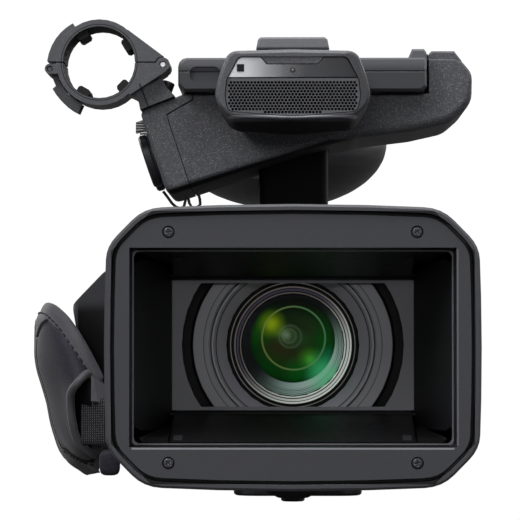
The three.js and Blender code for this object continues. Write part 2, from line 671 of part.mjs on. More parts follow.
const mouth = loft('y', [
  boxRing(plateFront - 1, MOUTH_HALF_WIDTH, MOUTH_HALF_HEIGHT, -HOOD_DROP),
  boxRing(plateFront + MOUTH_DEPTH, MOUTH_HALF_WIDTH - MOUTH_DRAFT, MOUTH_HALF_HEIGHT - MOUTH_DRAFT,
    -HOOD_DROP),
]);
const funnelHollow = loft('y', [
  boxRing(plateFront + MOUTH_DEPTH - 0.1, MOUTH_HALF_WIDTH - MOUTH_DRAFT,
    MOUTH_HALF_HEIGHT - MOUTH_DRAFT - HOOD_DROP, 0),
  boxRing(windowFront, WINDOW_HALF_WIDTH, FUNNEL_REAR_HALF_HEIGHT, 0),
]);
const doorSpace = halfDoor + RUNNING_GAP;
const doorRecess = join(
  prism('x', points([
    byDoor(-1, -4), byDoor(-1, doorSpace + 0.8), byDoor(DOOR_LENGTH + 1.5, doorSpace),
    byDoor(DOOR_LENGTH + 1.5, -4),
  ]), -WINDOW_HALF_WIDTH, WINDOW_HALF_WIDTH),
  rod('x', DOOR_BARREL_RADIUS + RUNNING_GAP, -WINDOW_HALF_WIDTH, WINDOW_HALF_WIDTH, doorHingeY,
    DOOR_HINGE_Z, 16),
  rod('x', DOOR_TRUNNION_RADIUS + CLEARANCE, -WINDOW_HALF_WIDTH - DOOR_TRUNNION_LENGTH,
    WINDOW_HALF_WIDTH + DOOR_TRUNNION_LENGTH, doorHingeY, DOOR_HINGE_Z, 12),
);
const windowCut = block(-WINDOW_HALF_WIDTH, WINDOW_HALF_WIDTH, windowFront - 2, funnelRear + 1,
  -WINDOW_HALF_HEIGHT, WINDOW_HALF_HEIGHT);
const screwWells = [-1, 1].flatMap((side) => [-1, 1].map((level) => rod('y', PLATE_SCREW_RADIUS,
  plateFront - 1, plateFront + 0.9, side * PLATE_SCREW_X, level * PLATE_SCREW_Z - HOOD_DROP, 16)));
piece(doors, 'hood_baffle', cut(
  join(plateShape, funnelOuter), mouth, funnelHollow, doorRecess, mirroredZ(doorRecess),
  windowCut, ...screwWells,
), DARK_PLASTIC);

const rearPlateFront = funnelRear + CLEARANCE;
piece(doors, 'hood_rear_plate', cut(
  prism('y', rounded(rectangle(WINDOW_HALF_WIDTH + 4, FUNNEL_REAR_HALF_HEIGHT + 3), 4),
    rearPlateFront, rearPlateFront + REAR_PLATE_THICKNESS),
  common(
    rod('y', REAR_PLATE_HOLE, rearPlateFront - 1, rearPlateFront + 5, 0, 0, 40),
    block(-60, 60, rearPlateFront - 1, rearPlateFront + 5, -REAR_PLATE_FLAT, REAR_PLATE_FLAT),
  ),
), GREY);

// Body: two cases that meet in a seam, with the lens flange in front and the battery behind
const body = assembly();
const bodySide = rounded([
  [BODY_FRONT, BODY_BOTTOM, 5], [BODY_REAR, BODY_BOTTOM, 5], [BODY_REAR, BODY_TOP - 6, 6],
  [BODY_REAR - 14, BODY_TOP, 10], [BODY_FRONT + 12, BODY_TOP, 10], [BODY_FRONT, BODY_TOP - 9, 5],
], 5, 2);
const bodyFace = rounded([
  [BODY_RIGHT, BODY_BOTTOM, 6], [BODY_LEFT, BODY_BOTTOM, 6], [BODY_LEFT, BODY_TOP - 8, 6],
  [BODY_LEFT - 10, BODY_TOP, 8], [BODY_RIGHT + 8, BODY_TOP, 8], [BODY_RIGHT, BODY_TOP - 8, 6],
], 6, 4);
const wholeBody = common(
  prism('x', bodySide, BODY_RIGHT - 1, BODY_LEFT + 1),
  prism('y', bodyFace, BODY_FRONT, BODY_REAR, 2, 1),
);
const baseTop = BODY_BOTTOM + BASE_RECESS;
const baseOutline = (inset) => rounded(rectangle(BASE_WIDTH / 2 - inset, BASE_LENGTH / 2 - inset,
  BASE_SHIFT_X, BASE_SHIFT_Y), 9 - inset, 3);
const baseWell = prism('z', baseOutline(-CLEARANCE), BODY_BOTTOM - 1, baseTop + CLEARANCE);

// Wells and slots of the left side
const well = (radius, depth, y, z, steps = 16) => rod('x', radius, BODY_LEFT - depth, BODY_LEFT + 3, y, z,
  steps);
const dialFloor = BODY_LEFT - DIAL_WELL_DEPTH;
const ndPanel = prism('x', rounded(rectangle(13, 21, ND_Y + 1, ND_Z + ND_TRAVEL / 2), 3),
  BODY_LEFT - RECESS_DEPTH, BODY_LEFT + 3);
const ndSlot = prism('x', rounded(rectangle(ND_SLOT_WIDTH / 2, ND_TRAVEL / 2 + 3.5, ND_Y,
  ND_Z + ND_TRAVEL / 2), 2.4),
  BODY_LEFT - 6, BODY_LEFT + 3);
const switchPanel = prism('x', rounded(rectangle(22, 9, (GAIN_Y + BALANCE_Y) / 2, SWITCH_ROW_Z), 3),
  BODY_LEFT - RECESS_DEPTH, BODY_LEFT + 3);
const audioPanel = prism('x', rounded(rectangle(24, 11, (AUDIO_DIAL_1_Y + AUDIO_DIAL_2_Y) / 2,
  AUDIO_DIAL_Z), 3),
  BODY_LEFT - RECESS_DEPTH, BODY_LEFT + 3);
const cardWell = prism('x', rounded(rectangle(CARD_COVER_LENGTH / 2 - 5, CARD_COVER_HEIGHT / 2 - 4,
  CARD_COVER_Y + CARD_COVER_LENGTH / 2 + 2, CARD_COVER_Z + CARD_COVER_HEIGHT / 2), 2),
  BODY_LEFT - CARD_SLOT_DEPTH, BODY_LEFT + 3);
const leftWells = [
  ndPanel, ndSlot, switchPanel, audioPanel, cardWell,
  well(SWITCH_BALL_RADIUS + RUNNING_GAP, 6, GAIN_Y, SWITCH_ROW_Z, 12),
  well(SWITCH_BALL_RADIUS + RUNNING_GAP, 6, BALANCE_Y, SWITCH_ROW_Z, 12),
  well(MENU_DIAL_RADIUS + RUNNING_GAP, DIAL_WELL_DEPTH, MENU_DIAL_Y, MENU_DIAL_Z),
  well(AUDIO_DIAL_RADIUS + RUNNING_GAP, DIAL_WELL_DEPTH, AUDIO_DIAL_1_Y, AUDIO_DIAL_Z),
  well(AUDIO_DIAL_RADIUS + RUNNING_GAP, DIAL_WELL_DEPTH, AUDIO_DIAL_2_Y, AUDIO_DIAL_Z),
  well(ASSIGN_BUTTON_RADIUS + RUNNING_GAP, BUTTON_WELL_DEPTH, ASSIGN_BUTTON_Y, ASSIGN_BUTTON_Z),
];
const leftHalf = block(BODY_SEAM, BODY_LEFT + 5, BODY_FRONT - 5, BODY_REAR + 5, 0, BODY_TOP + 5);
const rightHalf = block(BODY_RIGHT - 5, BODY_SEAM - CLEARANCE, BODY_FRONT - 5, BODY_REAR + 5, 0,
  BODY_TOP + 5);

// Rails at the rear that the battery slides on
const railZ = BATTERY_BOTTOM + RAIL_TOP - RAIL_LENGTH;
const railAt = (side, gap) => {
  const x = BATTERY_X + (side * RAIL_SPACING) / 2;
  const neck = RAIL_WIDTH / 4 + gap;
  const head = RAIL_WIDTH / 2 + gap;
  const y = BODY_REAR + RAIL_PROUD + gap;
  return points([
    [x - neck, BODY_REAR - 1], [x + neck, BODY_REAR - 1], [x + neck, BODY_REAR + 1.2 - gap],
    [x + head, BODY_REAR + 1.2 - gap], [x + head, y], [x - head, y],
    [x - head, BODY_REAR + 1.2 - gap], [x - neck, BODY_REAR + 1.2 - gap],
  ]);
};
const latchX = BATTERY_X + BATTERY_WIDTH / 2 + 9;
const latchZ = BATTERY_BOTTOM + 6;
const latchWell = prism('y', rounded(rectangle(4 + BATTERY_LATCH_TRAVEL, 4.4, latchX, latchZ), 1),
  BODY_REAR - 3, BODY_REAR + 1);
piece(body, 'body_left_case', join(
  cut(common(wholeBody, leftHalf), baseWell, latchWell, ...leftWells),
  prism('z', railAt(1, 0), railZ, railZ + RAIL_LENGTH),
), PLASTIC);
piece(body, 'body_right_case', join(
  cut(common(wholeBody, rightHalf), baseWell),
  prism('z', railAt(-1, 0), railZ, railZ + RAIL_LENGTH),
), PLASTIC);

// Tripod base with its two threaded sockets
piece(body, 'tripod_base', cut(
  prism('z', baseOutline(0), 0, baseTop, 0.8, 1),
  rod('z', LARGE_SOCKET_RADIUS, -1, SOCKET_DEPTH, 0, -SOCKET_SPACING / 2, 14),
  rod('z', SMALL_SOCKET_RADIUS, -1, SOCKET_DEPTH, 0, SOCKET_SPACING / 2, 14),
), DARK_PLASTIC);

// Left side controls
const ndKnob = prism('x', rounded(rectangle(5.5, 3, ND_Y, ND_Z), 1.5), BODY_LEFT - RECESS_DEPTH + CLEARANCE,
  BODY_LEFT + 3.5, 0.6);
const ndStem = block(BODY_LEFT - 5.5, BODY_LEFT, ND_Y - 1.6, ND_Y + 1.6, ND_Z - 2, ND_Z + 2);
piece(body, 'nd_filter_lever', join(ndKnob, ndStem), DARK_PLASTIC);

function toggle(name, y) {
  const floor = BODY_LEFT - 6 + CLEARANCE;
  const pivot = floor + SWITCH_BALL_RADIUS;
  const sphere = new THREE.SphereGeometry(SWITCH_BALL_RADIUS, 10, 6);
  const group = assembly(pivot, y, SWITCH_ROW_Z, body);
  piece(group, name, join(solid(sphere), rod('x', 1.4, 0, SWITCH_REACH, 0, 0, 8),
    prism('x', rounded(rectangle(2, 2.6), 0.8), SWITCH_REACH - 3.5, SWITCH_REACH + 1, 0.4, 1)), GREY);
}
toggle('gain_switch', GAIN_Y);
toggle('white_balance_switch', BALANCE_Y);

function dial(name, radius, proud, y, z, ribs) {
  const group = assembly(0, y, z, body);
  const ring = (size, depth) => Array.from({ length: 2 * ribs }, (_, k) => {
    const angle = (Math.PI * k) / ribs;
    const reach = size - (k % 2 ? depth : 0);
    return new THREE.Vector2(reach * Math.cos(angle), reach * Math.sin(angle));
  });
  piece(group, name, loft('x', [
    { at: dialFloor + CLEARANCE, outline: ring(radius, 0) },
    { at: BODY_LEFT, outline: ring(radius, 0) },
    { at: BODY_LEFT + 0.4, outline: ring(radius, 0.7) },
    { at: BODY_LEFT + proud - 0.8, outline: ring(radius, 0.7) },
    { at: BODY_LEFT + proud, outline: ring(radius - 0.9, 0) },
  ]), DARK_PLASTIC);
}
dial('menu_dial', MENU_DIAL_RADIUS, MENU_DIAL_PROUD, MENU_DIAL_Y, MENU_DIAL_Z, 16);
dial('audio_dial_1', AUDIO_DIAL_RADIUS, AUDIO_DIAL_PROUD, AUDIO_DIAL_1_Y, AUDIO_DIAL_Z, 12);
dial('audio_dial_2', AUDIO_DIAL_RADIUS, AUDIO_DIAL_PROUD, AUDIO_DIAL_2_Y, AUDIO_DIAL_Z, 12);
piece(body, 'assign_button', rod('x', ASSIGN_BUTTON_RADIUS, BODY_LEFT - BUTTON_WELL_DEPTH + 2,
  BODY_LEFT + 1.5,
  ASSIGN_BUTTON_Y, ASSIGN_BUTTON_Z, 20, 0.5), DARK_PLASTIC);

// Card cover, hinged at its front edge on two knuckle blocks of the left case
const coverX = BODY_LEFT + CLEARANCE;
const coverHingeX = coverX + COVER_BARREL_RADIUS;
const coverPlate = prism('x', rounded([
  [CARD_COVER_Y, CARD_COVER_Z, 0.3], [CARD_COVER_Y + CARD_COVER_LENGTH, CARD_COVER_Z],
  [CARD_COVER_Y + CARD_COVER_LENGTH, CARD_COVER_Z + CARD_COVER_HEIGHT],
  [CARD_COVER_Y, CARD_COVER_Z + CARD_COVER_HEIGHT, 0.3],
], 4), coverX, coverX + CARD_COVER_THICKNESS, 0.25, 1);
const coverBarrel = rod('z', COVER_BARREL_RADIUS, CARD_COVER_Z + 1, CARD_COVER_Z + CARD_COVER_HEIGHT - 1,
  coverHingeX, CARD_COVER_Y, 14);
const coverNotch = block(BODY_LEFT + 3.2, BODY_LEFT + 6, CARD_COVER_Y + CARD_COVER_LENGTH - 5,
  CARD_COVER_Y + CARD_COVER_LENGTH - 2, CARD_COVER_Z + 18, CARD_COVER_Z + 38);
piece(body, 'card_cover', cut(join(coverPlate, coverBarrel), moved(coverNotch, -1.1, 0, 0)), PLASTIC);

// Battery and its latch
const batteryFront = BODY_REAR + CLEARANCE;
const batteryOutline = (inset) => rounded(rectangle(BATTERY_WIDTH / 2 - inset, BATTERY_HEIGHT / 2 - inset,
  BATTERY_X, BATTERY_BOTTOM + BATTERY_HEIGHT / 2), 3.2 - inset / 2, 3);
const grooveTop = railZ + RAIL_LENGTH + CLEARANCE;
piece(body, 'battery', cut(
  loft('y', [
    { at: batteryFront, outline: batteryOutline(0) },
      { at: batteryFront + BATTERY_DEPTH - 2, outline: batteryOutline(0) },
    { at: batteryFront + BATTERY_DEPTH, outline: batteryOutline(2) },
  ]),
  prism('z', railAt(1, CLEARANCE), BATTERY_BOTTOM - 1, grooveTop),
  prism('z', railAt(-1, CLEARANCE), BATTERY_BOTTOM - 1, grooveTop),
), DARK_PLASTIC);
piece(body, 'battery_release', prism('y', rounded(rectangle(3.8, 4, latchX - BATTERY_LATCH_TRAVEL + 0.6,
  latchZ), 0.8),
  BODY_REAR - 2.7, BODY_REAR + 1.5, 0.4), GREY);

// Grip: a hand-sized housing on the right case, with the zoom rocker on top and the thumb controls behind
const grip = assembly();
const gripInner = BODY_RIGHT - CLEARANCE;
const gripSection = rounded([
  [gripInner, GRIP_BOTTOM + 2, 0], [-64, GRIP_BOTTOM, 8], [-75, 18, 12], [-86, 52, 30],
  [GRIP_OUTER, 77.3, 3.2], [-77, 90.7, 8], [-66, GRIP_TOP, 6], [gripInner, GRIP_TOP, 0],
], 6, 3);
const gripPlan = rounded([
  [gripInner, GRIP_FRONT, 0], [-74, GRIP_FRONT, 9], [GRIP_OUTER, -8, 14],
  [GRIP_OUTER, 56, 18], [-80, GRIP_REAR, 8], [gripInner, GRIP_REAR, 0],
], 8, 3);
const gripSide = rounded([
  [GRIP_FRONT - 1, GRIP_BOTTOM + 6, 8], [GRIP_FRONT + 20, GRIP_BOTTOM - 1, 14],
    [GRIP_REAR + 1, GRIP_BOTTOM - 1, 4],
  [GRIP_REAR + 1, GRIP_TOP - 8, 6], [GRIP_REAR - 14, GRIP_TOP + 0.5, 10], [GRIP_FRONT + 8, GRIP_TOP + 0.5, 8],
  [GRIP_FRONT - 1, GRIP_TOP - 8, 6],
], 6, 3);
const rockerY = GRIP_FRONT + 34;
const rockerX = -54;
const rockerFloor = GRIP_TOP - ROCKER_WELL_DEPTH;
const rockerWell = prism('z', rounded(rectangle(ROCKER_WIDTH / 2 + RUNNING_GAP,
  ROCKER_LENGTH / 2 + RUNNING_GAP,
  rockerX, rockerY), 3), rockerFloor, GRIP_TOP + 2);
const thumbWell = rod('y', POWER_RING_RADIUS + RUNNING_GAP, GRIP_REAR - 5, GRIP_REAR + 2, THUMB_X, THUMB_Z,
  20);
// Keepers on the front and rear faces that the belt's webbing passes through
const strapSpace = WEBBING_THICKNESS + 2 * CLEARANCE;
function keeper(face, outward, z) {
  const reach = (depth) => [face, face + outward * depth].sort((a, b) => a - b);
  const [wallFrom, wallTo] = reach(strapSpace + KEEPER_WALL);
  const [slotFrom, slotTo] = reach(strapSpace);
  return cut(
    block(KEEPER_X - 3, KEEPER_X + 3, wallFrom - 1, wallTo + 1, z - WEBBING_WIDTH / 2 - 3,
      z + WEBBING_WIDTH / 2 + 3),
    block(KEEPER_X - 4, KEEPER_X + 4, slotFrom, slotTo,
      z - WEBBING_WIDTH / 2 - CLEARANCE, z + WEBBING_WIDTH / 2 + CLEARANCE),
    block(KEEPER_X - 4, KEEPER_X + 4, outward > 0 ? wallTo : wallFrom - 2,
      outward > 0 ? wallTo + 2 : wallFrom, 0, 99),
  );
}
piece(grip, 'grip_body', join(
  cut(
    common(
      prism('y', gripSection, GRIP_FRONT - 2, GRIP_REAR + 2),
      prism('z', gripPlan, 0, BODY_TOP), prism('x', gripSide, GRIP_OUTER - 2, gripInner + 1),
    ),
    rockerWell, thumbWell,
  ),
  keeper(GRIP_FRONT, -1, STRAP_FRONT_Z), keeper(GRIP_REAR, 1, STRAP_REAR_Z),
), PLASTIC);

// Zoom rocker: a shallow seesaw about a cross axis at its middle
const rocker = (halfLength, halfWidth, rise, dip) => prism('x', points([
  [-halfLength, -rise * 0.1], [-halfLength + 1, -rise * 0.6], [0, -rise], [halfLength - 1, -rise * 0.6],
  [halfLength, -rise * 0.1], [halfLength - 0.6, dip + 1.4], [halfLength * 0.5, dip + 0.3], [0, dip],
  [-halfLength * 0.5, dip + 0.3], [-halfLength + 0.6, dip + 1.4],
]), -halfWidth, halfWidth, 0.6, 1);
const gripRockerPivot = rockerFloor + 4;
piece(assembly(rockerX, rockerY, gripRockerPivot, grip), 'grip_zoom_rocker',
  rocker(ROCKER_LENGTH / 2 - 0.8, ROCKER_WIDTH / 2, 3.6, 1.6), RUBBER);

const ringFloor = GRIP_REAR - 5 + CLEARANCE;
const powerRing = cut(
  join(
    rod('y', POWER_RING_RADIUS, ringFloor, GRIP_REAR + 1.2, 0, 0, 20, 0.5),
    prism('y', rounded([[-2.4, 5], [2.4, 5], [1.8, POWER_RING_RADIUS + 4], [-1.8, POWER_RING_RADIUS + 4]],
      0.8),
      GRIP_REAR + CLEARANCE, GRIP_REAR + 3, 0.4),
  ),
  rod('y', REC_BUTTON_RADIUS + RUNNING_GAP, ringFloor - 1, GRIP_REAR + 5, 0, 0, 16),
);
const thumb = assembly(THUMB_X, 0, THUMB_Z, grip);
piece(thumb, 'power_switch', powerRing, DARK_PLASTIC);
piece(thumb, 'grip_rec_button', rod('y', REC_BUTTON_RADIUS, GRIP_REAR - 3, GRIP_REAR + 2, 0, 0, 16, 0.6),
  finish(0xa02020, 0.4));

// Hand belt: a padded leaf that bows out from the grip, as sections through its middle surface
const belt = assembly();
// Stations from the front tip to the rear tip: y, outward shift of the section, lower and upper share
const beltPath = new THREE.CatmullRomCurve3([
  [-77, -30, STRAP_FRONT_Z], [-88, -23, 42], [-97, -8, 45], [-101, 12, 44], [-101, 34, 43], [-98, 54, 42],
  [-93, 72, 40], [-87, 88, STRAP_REAR_Z],
].map(([x, y, z]) => new THREE.Vector3(x, y, z)));
// Half its height at those stations, as shares of the greatest
const beltHalf = new THREE.CatmullRomCurve3([0.3, 0.64, 0.96, 1, 0.98, 0.88, 0.64, 0.35]
  .map((share) => new THREE.Vector3(share * BELT_HALF_HEIGHT, 0, 0)));
const BELT_STATIONS = 14;
const BELT_ROWS = 8;
// Its section bows out in the middle and tucks in under the hand.
function beltBow(along, across) {
  const fullness = beltHalf.getPoint(along).x / BELT_HALF_HEIGHT;
  return BELT_BOW * (1 - across * across) - fullness ** 3 * BELT_TUCK * Math.max(0, -across) ** 2.2;
}
function beltOutward(along) {
  const tangent = beltPath.getTangent(along);
  const outward = new THREE.Vector3(tangent.y, -tangent.x, 0).normalize();
  return outward.x > 0 ? outward.negate() : outward;
}
// A point of the belt's skin: along it, across it from -1 to 1, and in or out by half its thickness
function beltPoint(along, across, side) {
  const middle = beltPath.getPoint(along);
  const half = beltHalf.getPoint(along).x;
  const outward = beltOutward(along);
  const bow = beltBow(along, across);
  const thickness = (BELT_THICKNESS / 2) * Math.sqrt(Math.max(0.08, 1 - Math.abs(across) ** 6));
  return middle.clone()
    .addScaledVector(outward, bow + side * thickness)
    .add(new THREE.Vector3(0, 0, across * half));
}
function beltSkin() {
  const places = [];
  const faces = [];
  const at = (u, v, side) => ((side > 0 ? 1 : 0) * (BELT_STATIONS + 1) + u) * (BELT_ROWS + 1) + v;
  for (const side of [-1, 1]) {
    for (let u = 0; u <= BELT_STATIONS; u += 1) {
      for (let v = 0; v <= BELT_ROWS; v += 1) {
        places.push(...beltPoint(u / BELT_STATIONS, (2 * v) / BELT_ROWS - 1, side).toArray());
      }
    }
  }
  const quad = (a, b, c, d) => faces.push(a, b, c, a, c, d);
  for (let u = 0; u < BELT_STATIONS; u += 1) {
    for (let v = 0; v < BELT_ROWS; v += 1) {
      quad(at(u, v, 1), at(u + 1, v, 1), at(u + 1, v + 1, 1), at(u, v + 1, 1));
      quad(at(u, v, -1), at(u, v + 1, -1), at(u + 1, v + 1, -1), at(u + 1, v, -1));
    }
    quad(at(u, 0, -1), at(u + 1, 0, -1), at(u + 1, 0, 1), at(u, 0, 1));
    quad(at(u, BELT_ROWS, 1), at(u + 1, BELT_ROWS, 1), at(u + 1, BELT_ROWS, -1), at(u, BELT_ROWS, -1));
  }
  for (let v = 0; v < BELT_ROWS; v += 1) {
    quad(at(0, v, -1), at(0, v, 1), at(0, v + 1, 1), at(0, v + 1, -1));
    quad(at(BELT_STATIONS, v, 1), at(BELT_STATIONS, v, -1), at(BELT_STATIONS, v + 1, -1),
      at(BELT_STATIONS, v + 1, 1));
  }
  const geometry = new THREE.BufferGeometry();
  geometry.setAttribute('position', new THREE.Float32BufferAttribute(places, 3));
  geometry.setIndex(faces);
  return solid(geometry);
}
piece(belt, 'belt_pad', beltSkin(), LEATHER);

// Webbing: from the front keeper along the inside of the pad to the rear keeper
function band(stops, width, thickness) {
  const route = new THREE.CatmullRomCurve3(stops);
  const steps = 2 * stops.length;
  const rings = Array.from({ length: steps + 1 }, (_, k) => {
    const middle = route.getPoint(k / steps);
    const tangent = route.getTangent(k / steps);
    const across = new THREE.Vector3(-tangent.y, tangent.x, 0).normalize().multiplyScalar(thickness / 2);
    return [[-1, -1], [1, -1], [1, 1], [-1, 1]].map(([side, level]) => middle.clone()
      .addScaledVector(across, side).add(new THREE.Vector3(0, 0, (level * width) / 2)));
  });
  const faces = [0, 2, 1, 0, 3, 2];
  for (let k = 0; k < steps; k += 1) {
    for (let corner = 0; corner < 4; corner += 1) {
      const [a, b] = [4 * k + corner, 4 * k + ((corner + 1) % 4)];
      faces.push(a, b, b + 4, a, b + 4, a + 4);
    }
  }
  const last = 4 * steps;
  faces.push(last, last + 1, last + 2, last, last + 2, last + 3);
  const geometry = new THREE.BufferGeometry();
  geometry.setAttribute('position', new THREE.Float32BufferAttribute(rings.flat().flatMap((p) => p.toArray()), 3));
  geometry.setIndex(faces);
  return solid(geometry);
}
const strapOffset = CLEARANCE + WEBBING_THICKNESS / 2;
const insidePad = Array.from({ length: 9 }, (_, k) => {
  const along = 0.02 + 0.12 * k;
  const edge = Math.min(1, WEBBING_WIDTH / 2 / beltHalf.getPoint(along).x);
  const depth = BELT_THICKNESS / 2 - Math.min(beltBow(along, -edge), beltBow(along, edge));
  return beltPath.getPoint(along).addScaledVector(beltOutward(along), -depth - strapOffset - 0.5);
});
const webbingStops = [
  new THREE.Vector3(KEEPER_X + 5, GRIP_FRONT - strapOffset, STRAP_FRONT_Z),
  new THREE.Vector3(KEEPER_X - 4, GRIP_FRONT - strapOffset, STRAP_FRONT_Z),
  ...insidePad,
  new THREE.Vector3(KEEPER_X - 4, GRIP_REAR + strapOffset, STRAP_REAR_Z),
  new THREE.Vector3(KEEPER_X + 5, GRIP_REAR + strapOffset, STRAP_REAR_Z),
];
piece(belt, 'belt_webbing', band(webbingStops, WEBBING_WIDTH, WEBBING_THICKNESS), WEBBING);

// Handle: the front housing with the screen bed, its slanted end with the XLR sockets, neck and bar
const handle = assembly();
const housingRear = HOUSING_FRONT + HOUSING_LENGTH;
const slantTop = new THREE.Vector2(-60.3, 153);
const slantFoot = new THREE.Vector2(-49.3, 119.8);
const blockTopEnd = -42.5;
// The whole end face, and the stepped seam that parts the slanted block from the housing
// lift raises its lower edge, inset draws in the others.
const housingHigh = HOUSING_TOP + 13.9;
const frontOutline = (inset, lift) => rounded([
  [slantTop.x + inset, slantTop.y - inset, 2.4], [slantFoot.x + inset, slantFoot.y + lift, 3],
  [-20.8, 129.4 + lift, 20], [4, 137.5 + lift, 10], [26.3, 142.8 + lift, 12], [47.8, 145.4 + lift, 20],
  [62 - lift * 0.3, 148.6 + lift, 10], [70.5 - lift * 0.7, 156 + lift * 0.6, 9],
  [70.7 - inset, housingHigh - 6.1, 6], [65.5 - inset, housingHigh - inset, 5],
  [PANEL_PIVOT_X + 0.7, housingHigh - inset, 0], [PANEL_PIVOT_X + 0.7, HOUSING_TOP - inset, 0],
  [blockTopEnd, HOUSING_TOP - inset, 3],
], 3, 4);
const seam = (shift) => points([
  [-39.3 + shift, BAR_TOP], [-39.3 + shift, HOUSING_TOP - 2.7 - shift], [-49.5 + shift, 151.4 - shift],
  [-38 + shift, 117], [-38 + shift, 100], [90, 100], [90, BAR_TOP],
]);
const neckLeft = 14.3;
const neckWell = block(neckLeft - NECK_WIDTH - CLEARANCE, neckLeft + CLEARANCE,
  NECK_FRONT - CLEARANCE, NECK_FRONT + NECK_LENGTH + CLEARANCE, 100, NECK_SEAT + CLEARANCE);

// XLR sockets look along the slanted end's normal
const slant = slantFoot.clone().sub(slantTop).normalize();
const slantTurn = Math.atan2(-slant.x, -slant.y);
const socketMiddle = slantTop.clone().lerp(slantFoot, 0.53);
// Turns a shape drawn upward along z so that it points out of the slanted end, at y along the housing
function onSlant(shape, y, along = 0) {
  const turn = new THREE.Matrix4().makeRotationY(-Math.PI / 2 + slantTurn);
  const spot = socketMiddle.clone().addScaledVector(slant, along);
  return placed(placed(shape, turn), new THREE.Matrix4().makeTranslation(spot.x, y, spot.y));
}
const socketYs = [XLR_FIRST_Y, XLR_FIRST_Y + XLR_SPACING];
const socketWells = socketYs.map((y) => onSlant(
  rod('z', XLR_RADIUS + CLEARANCE, -XLR_DEPTH - CLEARANCE, XLR_DEPTH, 0, 0, 18), y));
const tabAlong = -XLR_RADIUS - 3.6;
const tabHalf = XLR_TAB_WIDTH / 2;
const tabWells = socketYs.map((y) => onSlant(
  block(-2.6, 2.6, -tabHalf - RUNNING_GAP, tabHalf + RUNNING_GAP, -4, 9), y, tabAlong));
// Room for the hinge of the screen panel
const bumpOutline = (left, right) => rounded([
  [left, HOUSING_TOP - 5, 0], [right + 2, HOUSING_TOP - 5, 0], [right + 2, housingHigh - 1, 0],
  [right - 1, HINGE_BUMP_TOP, 0], [left + 1, HINGE_BUMP_TOP, 0], [left, HINGE_BUMP_TOP - 1, 0],
], 0);
const bumpFront = PANEL_FRONT + 10.5;
const bumpRear = PANEL_FRONT + PANEL_LENGTH - 4;
const knuckleStart = PANEL_FRONT + 22;
const knuckleLength = 9;
const knuckleSpan = (k) => [
  knuckleStart + k * knuckleLength + CLEARANCE, knuckleStart + (k + 1) * knuckleLength - CLEARANCE,
];
const knuckle = (k) => rod('y', HINGE_KNUCKLE_RADIUS, ...knuckleSpan(k), PANEL_PIVOT_X, PANEL_PIVOT_Z, 14);
const pinBore = rod('y', HINGE_PIN_RADIUS + CLEARANCE, knuckleStart - 5, knuckleStart + 5 * knuckleLength,
  PANEL_PIVOT_X, PANEL_PIVOT_Z, 12);
const knuckleRoom = (k) => {
  const [from, to] = knuckleSpan(k);
  return rod('y', HINGE_KNUCKLE_RADIUS + RUNNING_GAP, from - 2 * CLEARANCE, to + 2 * CLEARANCE,
    PANEL_PIVOT_X, PANEL_PIVOT_Z, 14);
};
const blockBump = prism('y', bumpOutline(PANEL_PIVOT_X + 0.7, PANEL_PIVOT_X + 11.5), bumpFront, bumpRear,
  0.8, 1);
const wholeFront = loft('y', [
  [0, HOUSING_EDGE, HOUSING_ROUND], [0.2, HOUSING_EDGE * 0.3, HOUSING_ROUND * 0.55],
    [0.45, 0, HOUSING_ROUND * 0.3],
  [1, 0, 0],
].map(([depth, inset, lift]) => ({ at: HOUSING_FRONT + depth * HOUSING_ROUND,
  outline: frontOutline(inset, lift) })).concat([
  { at: housingRear - HOUSING_EDGE, outline: frontOutline(0, 0) },
  { at: housingRear, outline: frontOutline(HOUSING_EDGE, HOUSING_EDGE) },
]));
const housing = join(
  common(wholeFront, prism('y', seam(0), HOUSING_FRONT - 5, housingRear + 5)),
  blockBump,
);
piece(handle, 'handle_housing', cut(
  join(cut(housing, knuckleRoom(1)), knuckle(0), knuckle(2)),
  neckWell, pinBore, ...socketWells,
), TEXTURED);

piece(handle, 'handle_neck', prism('z', rounded(rectangle(NECK_WIDTH / 2, NECK_LENGTH / 2,
  neckLeft - NECK_WIDTH / 2, NECK_FRONT + NECK_LENGTH / 2), 3), BODY_TOP + CLEARANCE, NECK_SEAT),
    DARK_PLASTIC);

piece(handle, 'xlr_block', cut(
  common(wholeFront, block(-90, 0, HOUSING_FRONT - 5, housingRear + 5, 90, BAR_TOP)),
  prism('y', seam(-CLEARANCE), HOUSING_FRONT - 5, housingRear + 5), ...socketWells, ...tabWells,
), TEXTURED);

// Each socket: a round shell with three contacts on its floor, and a sprung release tab above it
socketYs.forEach((y, k) => {
  const floor = XLR_PROUD - XLR_BORE_DEPTH;
  const shell = turned('z', [
    [0, -XLR_DEPTH], [XLR_RADIUS, -XLR_DEPTH], [XLR_RADIUS, 0.7], [XLR_RADIUS - 0.5, 0.9],
      [XLR_RADIUS - 0.5, 1.3],
    [XLR_RADIUS, 1.5], [XLR_RADIUS, XLR_PROUD - 0.7], [XLR_RADIUS - 0.7, XLR_PROUD], [XLR_BORE, XLR_PROUD],
    [XLR_BORE, floor], [0, floor],
  ], 18);
  piece(handle, `xlr_socket_${k + 1}`, onSlant(shell, y), DARK_PLASTIC);
  const tab = join(
    block(-2, 2, -tabHalf, tabHalf, -1.5, 2.4),
    prism('y', points([[-2, 2.3], [2, 2.3], [2, 3.2], [-2, 4.6]]), -tabHalf, tabHalf),
  );
  piece(handle, `xlr_release_${k + 1}`, onSlant(tab, y, tabAlong), SILVER);
});

